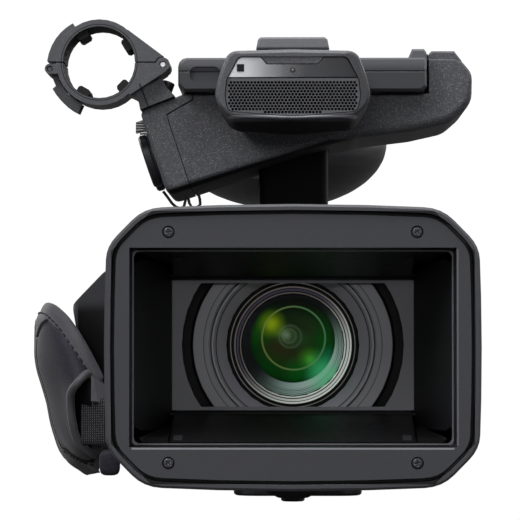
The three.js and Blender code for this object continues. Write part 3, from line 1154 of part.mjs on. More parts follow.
// Handle bar: over the finger gap to the rear post, which ends in the viewfinder's hinge
const postFront = FINGER_GAP_REAR;
const barOutline = rounded([
  [BAR_FRONT, HOUSING_TOP + CLEARANCE, 0], [housingRear + 4, HOUSING_TOP + CLEARANCE, 12],
  [postFront - 16, HOUSING_TOP + 3, 10], [postFront - 2, HOUSING_TOP - 10, 12],
  [postFront, BODY_TOP + 12, 14], [postFront - 4, BODY_TOP + CLEARANCE, 0],
  [BAR_REAR, BODY_TOP - 1, 0], [BAR_REAR, FINDER_PIVOT_Z - 14, 0], [BAR_REAR + 2, FINDER_PIVOT_Z - 6, 0],
  [BAR_REAR + 2, BAR_TOP - 13, 6],
  [BAR_REAR - 6, BAR_TOP - 4, 9], [BAR_REAR - 26, BAR_TOP, 14], [BAR_FRONT, BAR_TOP, 0],
], 6, 2);
const barHalf = BAR_WIDTH / 2;
const finderRoom = rod('x', 13.4, -30, 30, FINDER_PIVOT_Y, FINDER_PIVOT_Z, 20);
const handleRockerY = BAR_FRONT + SHOE_LENGTH + 24;
const handleRockerLength = 24;
const handleRockerWidth = 11;
const handleRockerFloor = BAR_TOP - ROCKER_WELL_DEPTH;
const handleButtonY = handleRockerY + 24;
const finderEarInner = 7;
const finderBarrel = FINDER_BARREL_RADIUS;
const bodyBelow = block(-40, 40, postFront - 20, BAR_REAR + 5, 90, BODY_TOP + CLEARANCE);
const ear = (x0, x1) => join(
  rod('x', finderBarrel, x0, x1, FINDER_PIVOT_Y, FINDER_PIVOT_Z, 18),
  block(x0, x1, BAR_REAR - 12, FINDER_PIVOT_Y, FINDER_PIVOT_Z - finderBarrel, FINDER_PIVOT_Z + 2),
);
piece(handle, 'handle_bar', cut(
  join(
    cut(prism('x', barOutline, -barHalf, barHalf, BAR_EDGE, 2), finderRoom, bodyBelow),
    ear(-barHalf, -finderEarInner), ear(finderEarInner, barHalf),
  ),
  prism('z', rounded(rectangle(handleRockerWidth / 2 + RUNNING_GAP, handleRockerLength / 2 + RUNNING_GAP,
    0, handleRockerY), 2.5), handleRockerFloor, BAR_TOP + 2),
  rod('z', REC_BUTTON_RADIUS + RUNNING_GAP, BAR_TOP - 4, BAR_TOP + 2, 0, handleButtonY, 16),
  rod('x', 2.2 + CLEARANCE, -30, 30, FINDER_PIVOT_Y, FINDER_PIVOT_Z, 12),
), PLASTIC);
piece(assembly(0, handleRockerY, handleRockerFloor + 4, handle), 'handle_zoom_rocker',
  rocker(handleRockerLength / 2 - 0.6, handleRockerWidth / 2, 3.6, 1.6), RUBBER);
piece(handle, 'handle_rec_button', rod('z', REC_BUTTON_RADIUS, BAR_TOP - 2, BAR_TOP + 1.4, 0, handleButtonY,
  16, 0.6),
  finish(0xa02020, 0.4));

// Accessory shoe: a moulded block round a channel with lips, open to the rear
const shoeBottom = BAR_TOP + CLEARANCE;
const shoeTop = shoeBottom + SHOE_HEIGHT;
const shoeFloor = shoeBottom + SHOE_FLOOR;
const shoeHalf = SHOE_WIDTH / 2;
piece(handle, 'accessory_shoe', cut(
  prism('y', rounded([
    [-shoeHalf - 1, shoeBottom, 0], [shoeHalf + 1, shoeBottom, 0], [shoeHalf, shoeTop, 1.2],
    [-shoeHalf, shoeTop, 1.2],
  ], 1), BAR_FRONT, BAR_FRONT + SHOE_LENGTH, 0.7, 1),
  block(-SHOE_SLOT_WIDTH / 2, SHOE_SLOT_WIDTH / 2, BAR_FRONT + 4, BAR_FRONT + SHOE_LENGTH + 1,
    shoeFloor, shoeFloor + SHOE_SLOT_HEIGHT),
  block(-SHOE_LIP_GAP / 2, SHOE_LIP_GAP / 2, BAR_FRONT + 4, BAR_FRONT + SHOE_LENGTH + 1, shoeFloor,
    shoeTop + 1),
), PLASTIC);

// Screen panel: lies face down on its bed and swings up and over about the hinge pin
const panelBottom = HOUSING_TOP + CLEARANCE;
const panelTop = panelBottom + PANEL_THICKNESS;
const panelRear = PANEL_FRONT + PANEL_LENGTH;
const panelOutline = (inset) => rounded([
  [PANEL_RIGHT + inset, panelBottom + inset, 2], [PANEL_LEFT - inset, panelBottom + inset, 1.5],
  [PANEL_LEFT - inset, panelTop - inset, 0.6], [PANEL_RIGHT + inset, panelTop - inset, 3.4],
], 2, 3);
const panelBox = loft('y', [
  { at: PANEL_FRONT, outline: panelOutline(0.8) }, { at: PANEL_FRONT + 1.2, outline: panelOutline(0) },
  { at: panelRear - 1.2, outline: panelOutline(0) }, { at: panelRear, outline: panelOutline(0.8) },
]);
const panelBump = prism('y', rounded([
  [PANEL_LEFT - 8.5, panelTop - 3, 0], [PANEL_LEFT, panelTop - 3, 0], [PANEL_LEFT, HINGE_BUMP_TOP - 1.4, 0],
  [PANEL_LEFT - 1, HINGE_BUMP_TOP, 0], [PANEL_LEFT - 5.6, HINGE_BUMP_TOP, 0],
], 0, 2), PANEL_FRONT + 1.5, bumpRear, 0.8, 1);
const screenX = (PANEL_LEFT + PANEL_RIGHT) / 2 - 3;
const screenY = PANEL_FRONT + PANEL_LENGTH / 2;
const screenOutline = (gap) => rounded(rectangle(SCREEN_LENGTH / 2 + gap, SCREEN_WIDTH / 2 + gap, screenX,
  screenY), 1.5);
const fingerNotch = prism('y', rounded(rectangle(5.9, 3, -34.3, HOUSING_TOP + 6.7), 2.4),
  PANEL_FRONT - 1, PANEL_FRONT + 1.6);
piece(handle, 'screen_panel', cut(
  join(cut(join(panelBox, panelBump), knuckleRoom(0), knuckleRoom(2)), knuckle(1)),
  pinBore, fingerNotch,
  prism('z', screenOutline(CLEARANCE), panelBottom - 1, panelBottom + 0.5 + SCREEN_THICKNESS + CLEARANCE),
), PLASTIC);
piece(handle, 'screen_glass', prism('z', screenOutline(0), panelBottom + 0.5,
  panelBottom + 0.5 + SCREEN_THICKNESS),
  GLOSS);
piece(handle, 'screen_hinge_pin', rod('y', HINGE_PIN_RADIUS, knuckleSpan(0)[0] + 0.5, knuckleSpan(2)[1] - 0.5,
  PANEL_PIVOT_X, PANEL_PIVOT_Z, 12), SILVER);

// Microphone pod: a rounded housing with a lipped front that holds the grille and the glossy strip
const podRear = POD_FRONT + POD_LENGTH;
// Its outline from the front; lift raises the underside, which slopes down behind the front frame.
const podOutline = (inset, lift = 0) => rounded([
  [-24.2 + inset, POD_Z - 14.4 + lift + inset * 0.7, 6], [0, POD_Z - 15.9 + lift + inset * 0.7, 60],
  [24.2 - inset, POD_Z - 14.4 + lift + inset * 0.7, 6], [30.1 - inset, POD_Z - 4.6 + lift * 0.2, 9],
  [28.2 - inset, POD_Z + 5.4, 30], [24.4 - inset, POD_Z + 15.4 - inset, 5],
  [0, POD_Z + 16 - inset, 60],
  [-24.4 + inset, POD_Z + 15.4 - inset, 5], [-28.2 + inset, POD_Z + 5.4, 30],
  [-30.1 + inset, POD_Z - 4.6 + lift * 0.2, 9],
], 5, 4);
// The sunk panel inside the frame
const sunkOutline = (inset) => rounded([
  [-24.6 + inset, POD_Z - 7.7 + inset, 2.5], [0, POD_Z - 9.7 + inset, 60],
    [24.6 - inset, POD_Z - 7.7 + inset, 2.5],
  [25.9 - inset, POD_Z - 2, 10], [25.2 - inset, POD_Z + 4.5, 6], [20.6 - inset, POD_Z + 13.2 - inset, 1.5],
  [-20.6 + inset, POD_Z + 13.2 - inset, 1.5], [-25.2 + inset, POD_Z + 4.5, 6], [-25.9 + inset, POD_Z - 2, 10],
], 5, 3);
// A tongue that comes down into the strip from the frame's top
const tongueOutline = (gap) => points([
  [-9.6 - gap, POD_Z + 10.5 - gap], [9.6 + gap, POD_Z + 10.5 - gap], [12.2 + gap, POD_Z + 13.5],
    [-12.2 - gap, POD_Z + 13.5],
]);
const podNeckZ = HOUSING_TOP - 1.5;
const frontRoom = GRILLE_THICKNESS + 1.4;
piece(handle, 'mic_pod', cut(
  join(
    loft('y', [
      { at: POD_FRONT, outline: podOutline(1.3, FRAME_LIFT) },
      { at: POD_FRONT + 0.6, outline: podOutline(0.4, FRAME_LIFT) },
      { at: POD_FRONT + 1.6, outline: podOutline(0, FRAME_LIFT) },
      { at: POD_FRONT + 4.5, outline: podOutline(0, FRAME_LIFT) },
      { at: POD_FRONT + 5.5, outline: podOutline(0.8, FRAME_LIFT - 0.6) },
      { at: POD_FRONT + 15, outline: podOutline(0.8) },
      { at: podRear - 9, outline: podOutline(1.6) }, { at: podRear, outline: podOutline(6) },
    ]),
    block(-21, 21, podRear - 12, HOUSING_FRONT - CLEARANCE, POD_Z - 11, podNeckZ),
  ),
  cut(
    prism('y', sunkOutline(0), POD_FRONT - 1, POD_FRONT + frontRoom),
    prism('y', tongueOutline(0), POD_FRONT + 0.5, POD_FRONT + frontRoom + 1),
  ),
), PLASTIC);
const stripZ = POD_Z + 5.2;
const grilleFront = POD_FRONT + 0.9;
const insidePod = sunkOutline(CLEARANCE);
piece(handle, 'mic_grille', common(
  prism('y', insidePod, grilleFront, grilleFront + GRILLE_THICKNESS),
  block(-40, 40, POD_FRONT - 1, POD_FRONT + 9, POD_Z - 20, stripZ - 0.15),
), GREY);
piece(handle, 'mic_strip', common(
  cut(
    prism('y', insidePod, grilleFront - 0.3, grilleFront - 0.3 + STRIP_THICKNESS),
    prism('y', tongueOutline(CLEARANCE), POD_FRONT - 2, POD_FRONT + 9),
  ),
  block(-40, 40, POD_FRONT - 1, POD_FRONT + 9, stripZ + 0.15, POD_Z + 20),
), GLOSS);

// Microphone holder: two jaws on a pin, four pads, and the latch lever that closes them
const holder = assembly(HOLDER_X, HOLDER_FRONT, HOLDER_Z);
const jawGap = 0.5;
const sideWidth = HOLDER_WIDTH / 4;
const holderBore = rod('y', HOLDER_BORE, -1, HOLDER_WIDTH + 1, 0, 0, 32);
const ringBody = rod('y', HOLDER_RADIUS, 0, HOLDER_WIDTH, 0, 0, 32);
const upperSpace = block(-40, 40, -1, HOLDER_WIDTH + 1, jawGap / 2, 40);
const lowerSpace = block(-40, 40, -1, HOLDER_WIDTH + 1, -40, -jawGap / 2);
const pivotRod = (radius, from, to) => rod('y', radius, from, to, HOLDER_PIVOT_X, HOLDER_PIVOT_Z, 14);
const pinHole = pivotRod(HOLDER_PIN_RADIUS + CLEARANCE, -1, HOLDER_WIDTH + 1);
function jawPad(angle) {
  const turn = THREE.MathUtils.degToRad(angle);
  const shape = prism('y', rounded([
    [HOLDER_PAD_RADIUS, -HOLDER_PAD_WIDTH / 2, 0.8], [HOLDER_BORE + 1, -HOLDER_PAD_WIDTH / 2, 0],
    [HOLDER_BORE + 1, HOLDER_PAD_WIDTH / 2, 0], [HOLDER_PAD_RADIUS, HOLDER_PAD_WIDTH / 2, 0.8],
  ], 0.8, 2), 1.5, HOLDER_WIDTH - 1.5);
  return placed(shape, new THREE.Matrix4().makeRotationY(-turn));
}
const armTop = prism('y', rounded([
  [8, 15.2, 2], [26.6, 1.3, 1.8], [HOLDER_PIVOT_X, jawGap / 2, 0], [8, jawGap / 2, 0],
], 1, 2), 0, HOLDER_WIDTH);
const armFoot = prism('y', rounded([
  [8, -jawGap / 2, 0], [HOLDER_PIVOT_X, -jawGap / 2, 0], [27, -3, 1], [11, -13.4, 1],
], 1, 2), 0, HOLDER_WIDTH);
const midKnuckleRoom = pivotRod(HOLDER_KNUCKLE + RUNNING_GAP, sideWidth, HOLDER_WIDTH - sideWidth);
const endKnuckleRooms = [
  pivotRod(HOLDER_KNUCKLE + RUNNING_GAP, -1, sideWidth + CLEARANCE),
  pivotRod(HOLDER_KNUCKLE + RUNNING_GAP, HOLDER_WIDTH - sideWidth - CLEARANCE, HOLDER_WIDTH + 1),
];
// Height of the XLR block's sloping top below the ring, at a place across it
const blockTopAt = (x) => {
  const rise = (HOUSING_TOP - slantTop.y) / (blockTopEnd - slantTop.x);
  return slantTop.y + rise * (x + HOLDER_X - slantTop.x) + CLEARANCE + 0.1 - HOLDER_Z;
};
const stalk = prism('y', rounded([
  [10.5, -12.4, 1], [15, -14, 2.5], [15.8, blockTopAt(15.8), 0], [29.4, blockTopAt(29.4), 0],
  [25.8, -9, 3], [24.6, -5.6, 1],
], 1, 2), 5, HOLDER_WIDTH - 5);
const plateEdge = (radius) => Array.from({ length: 7 }, (_, k) => {
  const angle = THREE.MathUtils.degToRad(PLATE_START + PLATE_STEP * k);
  return new THREE.Vector2(Math.cos(angle), Math.sin(angle)).multiplyScalar(radius(k / 6));
});
const upperPlate = prism('y', [
  ...plateEdge((share) => HOLDER_RADIUS + 2 + 1.8 * share), ...plateEdge(() => HOLDER_RADIUS - 0.4).reverse(),
], 3, HOLDER_WIDTH - 3);
piece(holder, 'mic_holder_upper_jaw', cut(
  join(
    cut(common(join(ringBody, armTop), upperSpace), holderBore, ...endKnuckleRooms),
    common(upperPlate, upperSpace),
    cut(join(common(jawPad(121), upperSpace), common(jawPad(33.5), upperSpace))),
    pivotRod(HOLDER_KNUCKLE, sideWidth + CLEARANCE, HOLDER_WIDTH - sideWidth - CLEARANCE),
  ),
  pinHole,
), TEXTURED);

// The latch turns on stub pins in two ears of the lower jaw.
const latchRod = (radius, from, to, steps = 16) => rod('y', radius, from, to, LATCH_PIVOT_X, LATCH_PIVOT_Z,
  steps);
const earWidth = 5;
const latchEar = (from) => cut(
  join(
    latchRod(LATCH_KNUCKLE, from, from + earWidth),
    block(LATCH_PIVOT_X, -HOLDER_BORE - 1, from, from + earWidth,
      LATCH_PIVOT_Z - LATCH_KNUCKLE, LATCH_PIVOT_Z + LATCH_KNUCKLE - 0.1),
  ),
  latchRod(0.9 + CLEARANCE, from - 1, from + earWidth + 1),
);
piece(holder, 'mic_holder_lower_jaw', cut(
  join(
    cut(common(join(ringBody, armFoot), lowerSpace), holderBore, midKnuckleRoom),
    common(jawPad(240.6), lowerSpace), common(jawPad(315.6), lowerSpace),
    cut(stalk, holderBore),
    cut(latchEar(0), holderBore), cut(latchEar(HOLDER_WIDTH - earWidth), holderBore),
    pivotRod(HOLDER_KNUCKLE, 0, sideWidth), pivotRod(HOLDER_KNUCKLE, HOLDER_WIDTH - sideWidth, HOLDER_WIDTH),
  ),
  pinHole,
), TEXTURED);
piece(holder, 'mic_holder_pin', pivotRod(HOLDER_PIN_RADIUS, 0.3, HOLDER_WIDTH - 0.3), SILVER);
const latchArc = (radius, from, to, steps) => Array.from({ length: steps + 1 }, (_, k) => {
  const angle = THREE.MathUtils.degToRad(from + ((to - from) * k) / steps);
  return new THREE.Vector2(radius * Math.cos(angle), radius * Math.sin(angle));
});
const latchInner = HOLDER_RADIUS + RUNNING_GAP;
const latchFrom = earWidth + RUNNING_GAP;
const latchTo = HOLDER_WIDTH - earWidth - RUNNING_GAP;
piece(holder, 'mic_holder_latch', join(
  cut(
    prism('y', [...latchArc(latchInner, 192, 232, 6), ...latchArc(latchInner + 2.2, 245, 192, 8)],
      latchFrom, latchTo),
    prism('y', latchArc(latchInner + 6, 205, 222, 3).concat(latchArc(latchInner - 3, 222, 205, 3)),
      latchFrom + 3.5, latchTo - 3.5),
  ),
  prism('y', [...latchArc(latchInner, 205, 246, 5), ...latchArc(latchInner + LEVER_PROUD, 246, 208, 5)],
    latchFrom, latchFrom + 3),
  prism('y', [...latchArc(latchInner, 205, 246, 5), ...latchArc(latchInner + LEVER_PROUD, 246, 208, 5)],
    latchTo - 3, latchTo),
  latchRod(LATCH_KNUCKLE, latchFrom, latchTo),
  latchRod(0.9, 0.5, HOLDER_WIDTH - 0.5, 12),
), DARK_PLASTIC);

// Clip for the microphone cable: two bent wires under the XLR block
const clipZ = slantFoot.y - 0.6;
const wire = (stops, radius) => solid(new THREE.ExtrudeGeometry(
  new THREE.Shape(oval(radius, radius, 5)),
  { steps: 2 * stops.length, bevelEnabled: false, extrudePath: new THREE.CatmullRomCurve3(stops) },
));
const clipY = HOUSING_FRONT + 7;
piece(handle, 'mic_cable_clip', wire([
  [-51.3, clipY, clipZ + 2.6], [-48.8, clipY, clipZ - 0.7], [-46.8, clipY, clipZ - 3.2],
    [-43.6, clipY, clipZ - 4.2],
  [-41.8, clipY, clipZ + 1], [-40.2, clipY, clipZ - 3.6], [-36.8, clipY, clipZ - 3.2],
    [-37.6, clipY, clipZ + 3.2],
].map(([x, y, z]) => new THREE.Vector3(x, y, z)), 0.6), DARK_PLASTIC);

// Viewfinder: a block that tilts up on the handle's rear, with a wide rubber eyecup
const finder = assembly();
const finderFront = BAR_REAR + 12;
const finderRear = finderFront + FINDER_LENGTH;
const finderHalf = FINDER_WIDTH / 2;
const finderOutline = (inset) => rounded([
  [FINDER_X - finderHalf + inset, FINDER_BOTTOM + inset, 6],
    [FINDER_X + finderHalf - inset, FINDER_BOTTOM + inset, 6],
  [FINDER_X + finderHalf - inset, FINDER_TOP - inset, 9],
    [FINDER_X - finderHalf + inset, FINDER_TOP - inset, 9],
], 6, 3);
const tubeLength = 12;
piece(finder, 'viewfinder', cut(
  join(
    loft('y', [
      { at: finderFront, outline: finderOutline(1.5) }, { at: finderFront + 1.5, outline: finderOutline(0) },
      { at: finderRear - 2, outline: finderOutline(0) }, { at: finderRear, outline: finderOutline(2) },
    ]),
    rod('y', 15, finderRear - 1, finderRear + tubeLength, FINDER_X, FINDER_Z, 20),
    rod('x', finderBarrel, -finderEarInner + RUNNING_GAP, finderEarInner - RUNNING_GAP,
      FINDER_PIVOT_Y, FINDER_PIVOT_Z, 18),
    block(-finderEarInner + RUNNING_GAP, finderEarInner - RUNNING_GAP, FINDER_PIVOT_Y, finderFront + 2,
      FINDER_PIVOT_Z - finderBarrel, FINDER_PIVOT_Z + finderBarrel),
    rod('x', 2.2, -barHalf + 0.5, barHalf - 0.5, FINDER_PIVOT_Y, FINDER_PIVOT_Z, 12),
  ),
  rod('y', 11.5, finderRear + tubeLength - 8, finderRear + tubeLength + 1, FINDER_X, FINDER_Z, 18),
), PLASTIC);
piece(finder, 'eyepiece_lens', turned('y', [
  [0, finderRear + tubeLength - 7.7], [11.2, finderRear + tubeLength - 7.7],
  [11.2, finderRear + tubeLength - 4], [6, finderRear + tubeLength - 2.8], [0, finderRear + tubeLength - 2.4],
], 18, FINDER_X, FINDER_Z), GLASS);

// Eyecup: a flaring rubber shell that grips the eyepiece tube
const cupRing = (at, halfWidth, halfHeight) => ({
  at, outline: oval(halfWidth, halfHeight, 32, FINDER_X, FINDER_Z),
});
const cupFront = finderRear + CLEARANCE;
const cupRear = cupFront + EYECUP_LENGTH;
const cupStages = (wall) => [
  [0, 0.34, 0.52], [0.18, 0.42, 0.6], [0.42, 0.72, 0.84], [0.72, 0.93, 0.97], [0.94, 1, 1], [1, 0.985, 0.98],
].map(([share, wide, high]) => cupRing(cupFront + share * EYECUP_LENGTH,
  Math.max(15 + CLEARANCE, EYECUP_HALF_WIDTH * wide - wall),
    Math.max(15 + CLEARANCE, EYECUP_HALF_HEIGHT * high - wall)));
const tubeEnd = finderRear + tubeLength;
piece(finder, 'eyecup', cut(
  loft('y', cupStages(0)),
  loft('y', [
    cupRing(cupFront - 1, 15 + CLEARANCE, 15 + CLEARANCE),
      cupRing(tubeEnd - 3, 15 + CLEARANCE, 15 + CLEARANCE),
    ...cupStages(EYECUP_WALL).slice(2), cupRing(cupRear + 1, EYECUP_HALF_WIDTH - EYECUP_WALL - 1,
      EYECUP_HALF_HEIGHT - EYECUP_WALL - 1),
  ]),
), RUBBER);

export default part;
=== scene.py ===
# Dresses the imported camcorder: finishes, small fasteners, the soft hand belt and a plain studio.
from math import copysign, cos, exp, pi, radians, sin, sqrt

import bmesh
import bpy
from mathutils import Matrix, Vector

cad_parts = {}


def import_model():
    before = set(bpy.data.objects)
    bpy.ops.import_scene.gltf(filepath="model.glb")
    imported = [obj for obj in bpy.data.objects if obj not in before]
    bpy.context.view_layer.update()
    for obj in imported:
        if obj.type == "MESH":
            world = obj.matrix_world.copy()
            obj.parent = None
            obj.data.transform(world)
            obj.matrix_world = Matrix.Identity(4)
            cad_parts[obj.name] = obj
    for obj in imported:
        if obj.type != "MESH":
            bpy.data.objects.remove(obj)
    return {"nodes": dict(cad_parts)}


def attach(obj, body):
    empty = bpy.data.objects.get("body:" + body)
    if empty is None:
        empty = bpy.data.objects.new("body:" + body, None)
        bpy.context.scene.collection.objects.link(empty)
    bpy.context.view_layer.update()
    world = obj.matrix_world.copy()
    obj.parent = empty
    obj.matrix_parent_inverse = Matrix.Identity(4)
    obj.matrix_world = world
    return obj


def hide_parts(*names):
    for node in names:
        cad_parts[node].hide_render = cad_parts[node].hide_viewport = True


scene = bpy.context.scene
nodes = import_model()["nodes"]
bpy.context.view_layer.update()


def placed(name, data):
    """A new object in the scene."""
    made = bpy.data.objects.new(name, data)
    scene.collection.objects.link(made)
    return made


# Camera
# The photograph was taken from level with the lens, 1.1 m in front of the hood, with a long lens
# that is turned a little upward and to the left.
MM = 0.001
LENS_HEIGHT = 61
PICTURE_SIZE = 520
SENSOR_WIDTH = 36
FOCAL_LENGTH = 213.2
CAMERA_DISTANCE = 1275
camera = placed("camera", bpy.data.cameras.new("camera"))
scene.camera = camera
camera.data.lens = FOCAL_LENGTH
camera.data.sensor_width = SENSOR_WIDTH
camera.data.clip_start = 0.05
camera.location = (0, -CAMERA_DISTANCE * MM, LENS_HEIGHT * MM)
camera.rotation_euler = (radians(91.58), 0, radians(0.61))


# Lens
# A metal barrel in satin black, with three ribbed rubber rings, a grey front ring that carries the
# filter thread, a coated front glass and a turned ring round the inner glass, made bright by a painted
# highlight that also glows.
def maths(operation):
    """A kind of sum on a node's output."""
    def result(first, second=0.0):
        return first.nodes.node("Math", {"operation": operation}, {0: first, 1: second})
    return result


class Value:
    """A node's output, which can stand in a sum."""

    def __init__(self, nodes, socket):
        self.nodes = nodes
        self.socket = socket

    def __rsub__(self, other):
        return self.nodes.node("Math", {"operation": "SUBTRACT"}, {0: other, 1: self})

    __add__ = __radd__ = maths("ADD")
    __sub__ = maths("SUBTRACT")
    __mul__ = __rmul__ = maths("MULTIPLY")
    __truediv__ = maths("DIVIDE")
    __pow__ = maths("POWER")
    __gt__ = maths("GREATER_THAN")
    __lt__ = maths("LESS_THAN")
    __abs__ = maths("ABSOLUTE")

    def ease(self, low, high):
        """Goes smoothly from 0 at low to 1 at high."""
        settings = {"interpolation_type": "SMOOTHSTEP"}
        return self.nodes.node("MapRange", settings, {0: self, 1: low, 2: high})

    def ring(self, at, width):
        """1 on a thin ring, 0 away from it."""
        return 1.0 - abs(self - at).ease(width * 0.35, width * 0.75)

    sine = maths("SINE")
    larger = maths("MAXIMUM")
    smaller = maths("MINIMUM")


class Nodes:
    """The nodes of one material, or of the world."""

    def __init__(self, tree):
        self.tree = tree

    def node(self, kind, settings=None, values=None, outlet=0):
        made = self.tree.nodes.new("ShaderNode" + kind)
        for name, setting in (settings or {}).items():
            if name == "stops":
                stops = made.color_ramp.elements
                while len(stops) < len(setting):
                    stops.new(1)
                for stop, (place, colour) in zip(stops, setting):
                    stop.position = place
                    stop.color = (*colour, 1)
            else:
                setattr(made, name, setting)
        for name, value in (values or {}).items():
            self.feed(made.inputs[name], value)
        return Value(self, made.outputs[outlet])

    def feed(self, socket, value):
        if isinstance(value, Value):
            self.tree.links.new(value.socket, socket)
        elif socket.type == "RGBA":
            socket.default_value = (*value, 1)
        else:
            socket.default_value = value

    def place(self):
        return self.node("TexCoord", outlet="Object")

    def along(self, axis):
        """A point's place along an axis, in millimetres."""
        return self.node("SeparateXYZ", values={0: self.place()}, outlet="XYZ".index(axis)) / MM

    def from_line(self, x, z):
        """A point's distance from a line that runs front to back."""
        across = self.along("X") - x
        upward = self.along("Z") - z
        return (across * across + upward * upward) ** 0.5

    def noise(self, per_metre, detail=2.0):
        return self.node("TexNoise", values={
            "Vector": self.place(), "Scale": per_metre, "Detail": detail,
        })

    def cells(self, per_metre, outlet="Distance"):
        return self.node("TexVoronoi", values={"Vector": self.place(), "Scale": per_metre}, outlet=outlet)

    def mix(self, share, first, second):
        return self.node("Mix", {"data_type": "RGBA"}, {0: share, 6: first, 7: second}, 2)

    def ramp(self, value, reach, stops):
        """Colours at distances up to reach."""
        stops = [(distance / reach, colour) for distance, colour in stops]
        return self.node("ValToRGB", {"stops": stops}, {0: value / reach})


class Finish(Nodes):
    """A material, and the colour that its coats have given it so far."""

    def __init__(self, name, shine=0.5):
        self.material = bpy.data.materials.new(name)
        self.material.use_nodes = True
        super().__init__(self.material.node_tree)
        self.surface = self.tree.nodes["Principled BSDF"]
        self.colour = None
        self.set(Specular_IOR_Level=shine)

    def coat(self, share, colour):
        """Lays a colour over the coats so far."""
        self.colour = self.mix(share, self.colour, colour)

    def set(self, **sockets):
        for name, value in sockets.items():
            self.feed(self.surface.inputs[name.replace("_", " ")], value)

    def relief(self, height, depth, strength=1.0):
        self.set(Normal=self.node("Bump", values={
            "Height": height, "Distance": depth * MM, "Strength": strength,
        }))
        return self


def shade(red, green, blue):
    """A colour as a photograph writes it, as light."""
    return tuple(
        (part / 255 / 12.92) if part < 10.3 else ((part / 255 + 0.055) / 1.055) ** 2.4
        for part in (red, green, blue)
    )


def grey(level):
    """The slightly blue grey of the mouldings."""
    return shade(level, level + 0.5, level + 4)


def moulded(name, colour, roughness=0.5, grain=0.02, drift=0.1, shine=0.5):
    """Moulded plastic: slight drift in colour and gloss, and a fine spark-eroded grain."""
    finish = Finish(name, shine)
    blotch = finish.noise(35, 3) * 0.5 + finish.noise(2300, 1).ease(0.3, 0.7) * 0.5
    finish.set(
        Base_Color=finish.mix(
            blotch,
            tuple(part * (1 - drift * 1.6) for part in colour),
            tuple(part * (1 + drift * 1.6) for part in colour),
        ),
        Roughness=finish.noise(260) * 0.12 + (roughness - 0.06),
    )
    return finish.relief(finish.noise(2600), grain)


WELD_GAP = 0.002 * MM


def modify(thing, kind, **settings):
    """Adds a modifier with its settings."""
    added = thing.modifiers.new(kind.lower(), kind)
    for name, setting in settings.items():
        setattr(added, name, setting)
    return added


def dress(names, finish, edge=0.0):
    """Gives CAD nodes a finish, and eases their edges."""
    for name in names:
        node = nodes[name]
        node.data.shade_smooth()
        for place in node.material_slots:
            place.material = finish.material
        if not edge:
            continue
        modify(node, "WELD", merge_threshold=WELD_GAP)
        modify(node, "DECIMATE", decimate_type="DISSOLVE", angle_limit=radians(0.6))
        modify(node, "BEVEL", limit_method="ANGLE", angle_limit=radians(32), width=edge * MM, segments=2)
        modify(node, "WEIGHTED_NORMAL", keep_sharp=False, weight=60)


def piece(name, finish, slot, points, faces, smooth=True, body="camera"):
    """A new piece from points in millimetres, riding on a body."""
    mesh = bpy.data.meshes.new(name)
    mesh.from_pydata([Vector(point) * MM for point in points], [], faces)
    shell = bmesh.new()
    shell.from_mesh(mesh)
    bmesh.ops.recalc_face_normals(shell, faces=shell.faces)
    shell.to_mesh(mesh)
    shell.free()
    if smooth:
        mesh.shade_smooth()
    made = placed(name, mesh)
    mesh.materials.append(finish.material)
    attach(made, body)
    return made


def baked(thing):
    """Applies a piece's modifiers."""
    bpy.context.view_layer.update()
    mesh = bpy.data.meshes.new_from_object(thing.evaluated_get(bpy.context.evaluated_depsgraph_get()))
    thing.modifiers.clear()
    thing.data = mesh


def carved(thing, tool, solver):
    """Cuts a tool's form out of a piece."""
    modify(thing, "BOOLEAN", object=tool, solver=solver)
    baked(thing)
    bpy.data.objects.remove(tool)


def wrapped(rings, sides):
    """Faces between rings of points, and over the first and last ring."""
    faces = [tuple(range(sides)), tuple(range((rings - 1) * sides, rings * sides))]
    for low in range(0, (rings - 1) * sides, sides):
        for k in range(sides):
            after = (k + 1) % sides
            faces.append((low + k, low + after, low + sides + after, low + sides + k))
    return faces


def joined(forms):
    """Points and faces of several forms as those of one."""
    points, faces = [], []
    for more, around in forms:
        faces += [tuple(corner + len(points) for corner in face) for face in around]
        points += more
    return points, faces


def polar(radius, degrees, x=0.0, z=0.0):
    """A point on a circle round a place."""
    turn = radians(degrees)
    return x + radius * cos(turn), z + radius * sin(turn)


def revolved(profile, place, direction, steps=32):
    """Points and faces of a profile (radius, height) turned round a line."""
    turn = Vector((0, 0, 1)).rotation_difference(Vector(direction)).to_matrix()
    points = []
    for radius, height in profile:
        for k in range(steps):
            points.append(Vector(place) + turn @ Vector((*polar(radius, 360 * k / steps), height)))
    return points, wrapped(len(profile), steps)


def tube(path, radius, sides=10):
    """Points and faces of a round cord along a path, with closed ends."""
    path = [Vector(point) for point in path]
    points = []
    side = Vector((0, 0, 1))
    for k, point in enumerate(path):
        ahead = (path[min(k + 1, len(path) - 1)] - path[max(k - 1, 0)]).normalized()
        side = (side - ahead * side.dot(ahead)).normalized()
        other = ahead.cross(side)
        for turn in range(sides):
            level, rise = polar(radius, 360 * turn / sides)
            points.append(point + side * level + other * rise)
    return points, wrapped(len(path), sides)


def prism(outline, near, far):
    """Points and faces of an outline (x, z) drawn along y."""
    points = [Vector((x, y, z)) for y in (near, far) for x, z in outline]
    return points, wrapped(2, len(outline))


def rectangle(half_width, half_height, x=0.0, z=0.0):
    """Corners of a rectangle round a place."""
    return [(x - half_width, z - half_height), (x + half_width, z - half_height),
            (x + half_width, z + half_height), (x - half_width, z + half_height)]


def sight(across, down, thing):
    """Where a line through a pixel of the photograph meets a piece, and the normal there."""
    ray = Vector((across - PICTURE_SIZE / 2, PICTURE_SIZE / 2 - down, 0))
    ray *= SENSOR_WIDTH / PICTURE_SIZE
    ray.z = -FOCAL_LENGTH
    ray.rotate(camera.rotation_euler)
    bpy.context.view_layer.update()
    _, place, normal, _ = thing.ray_cast(camera.location, ray)
    return place / MM, normal


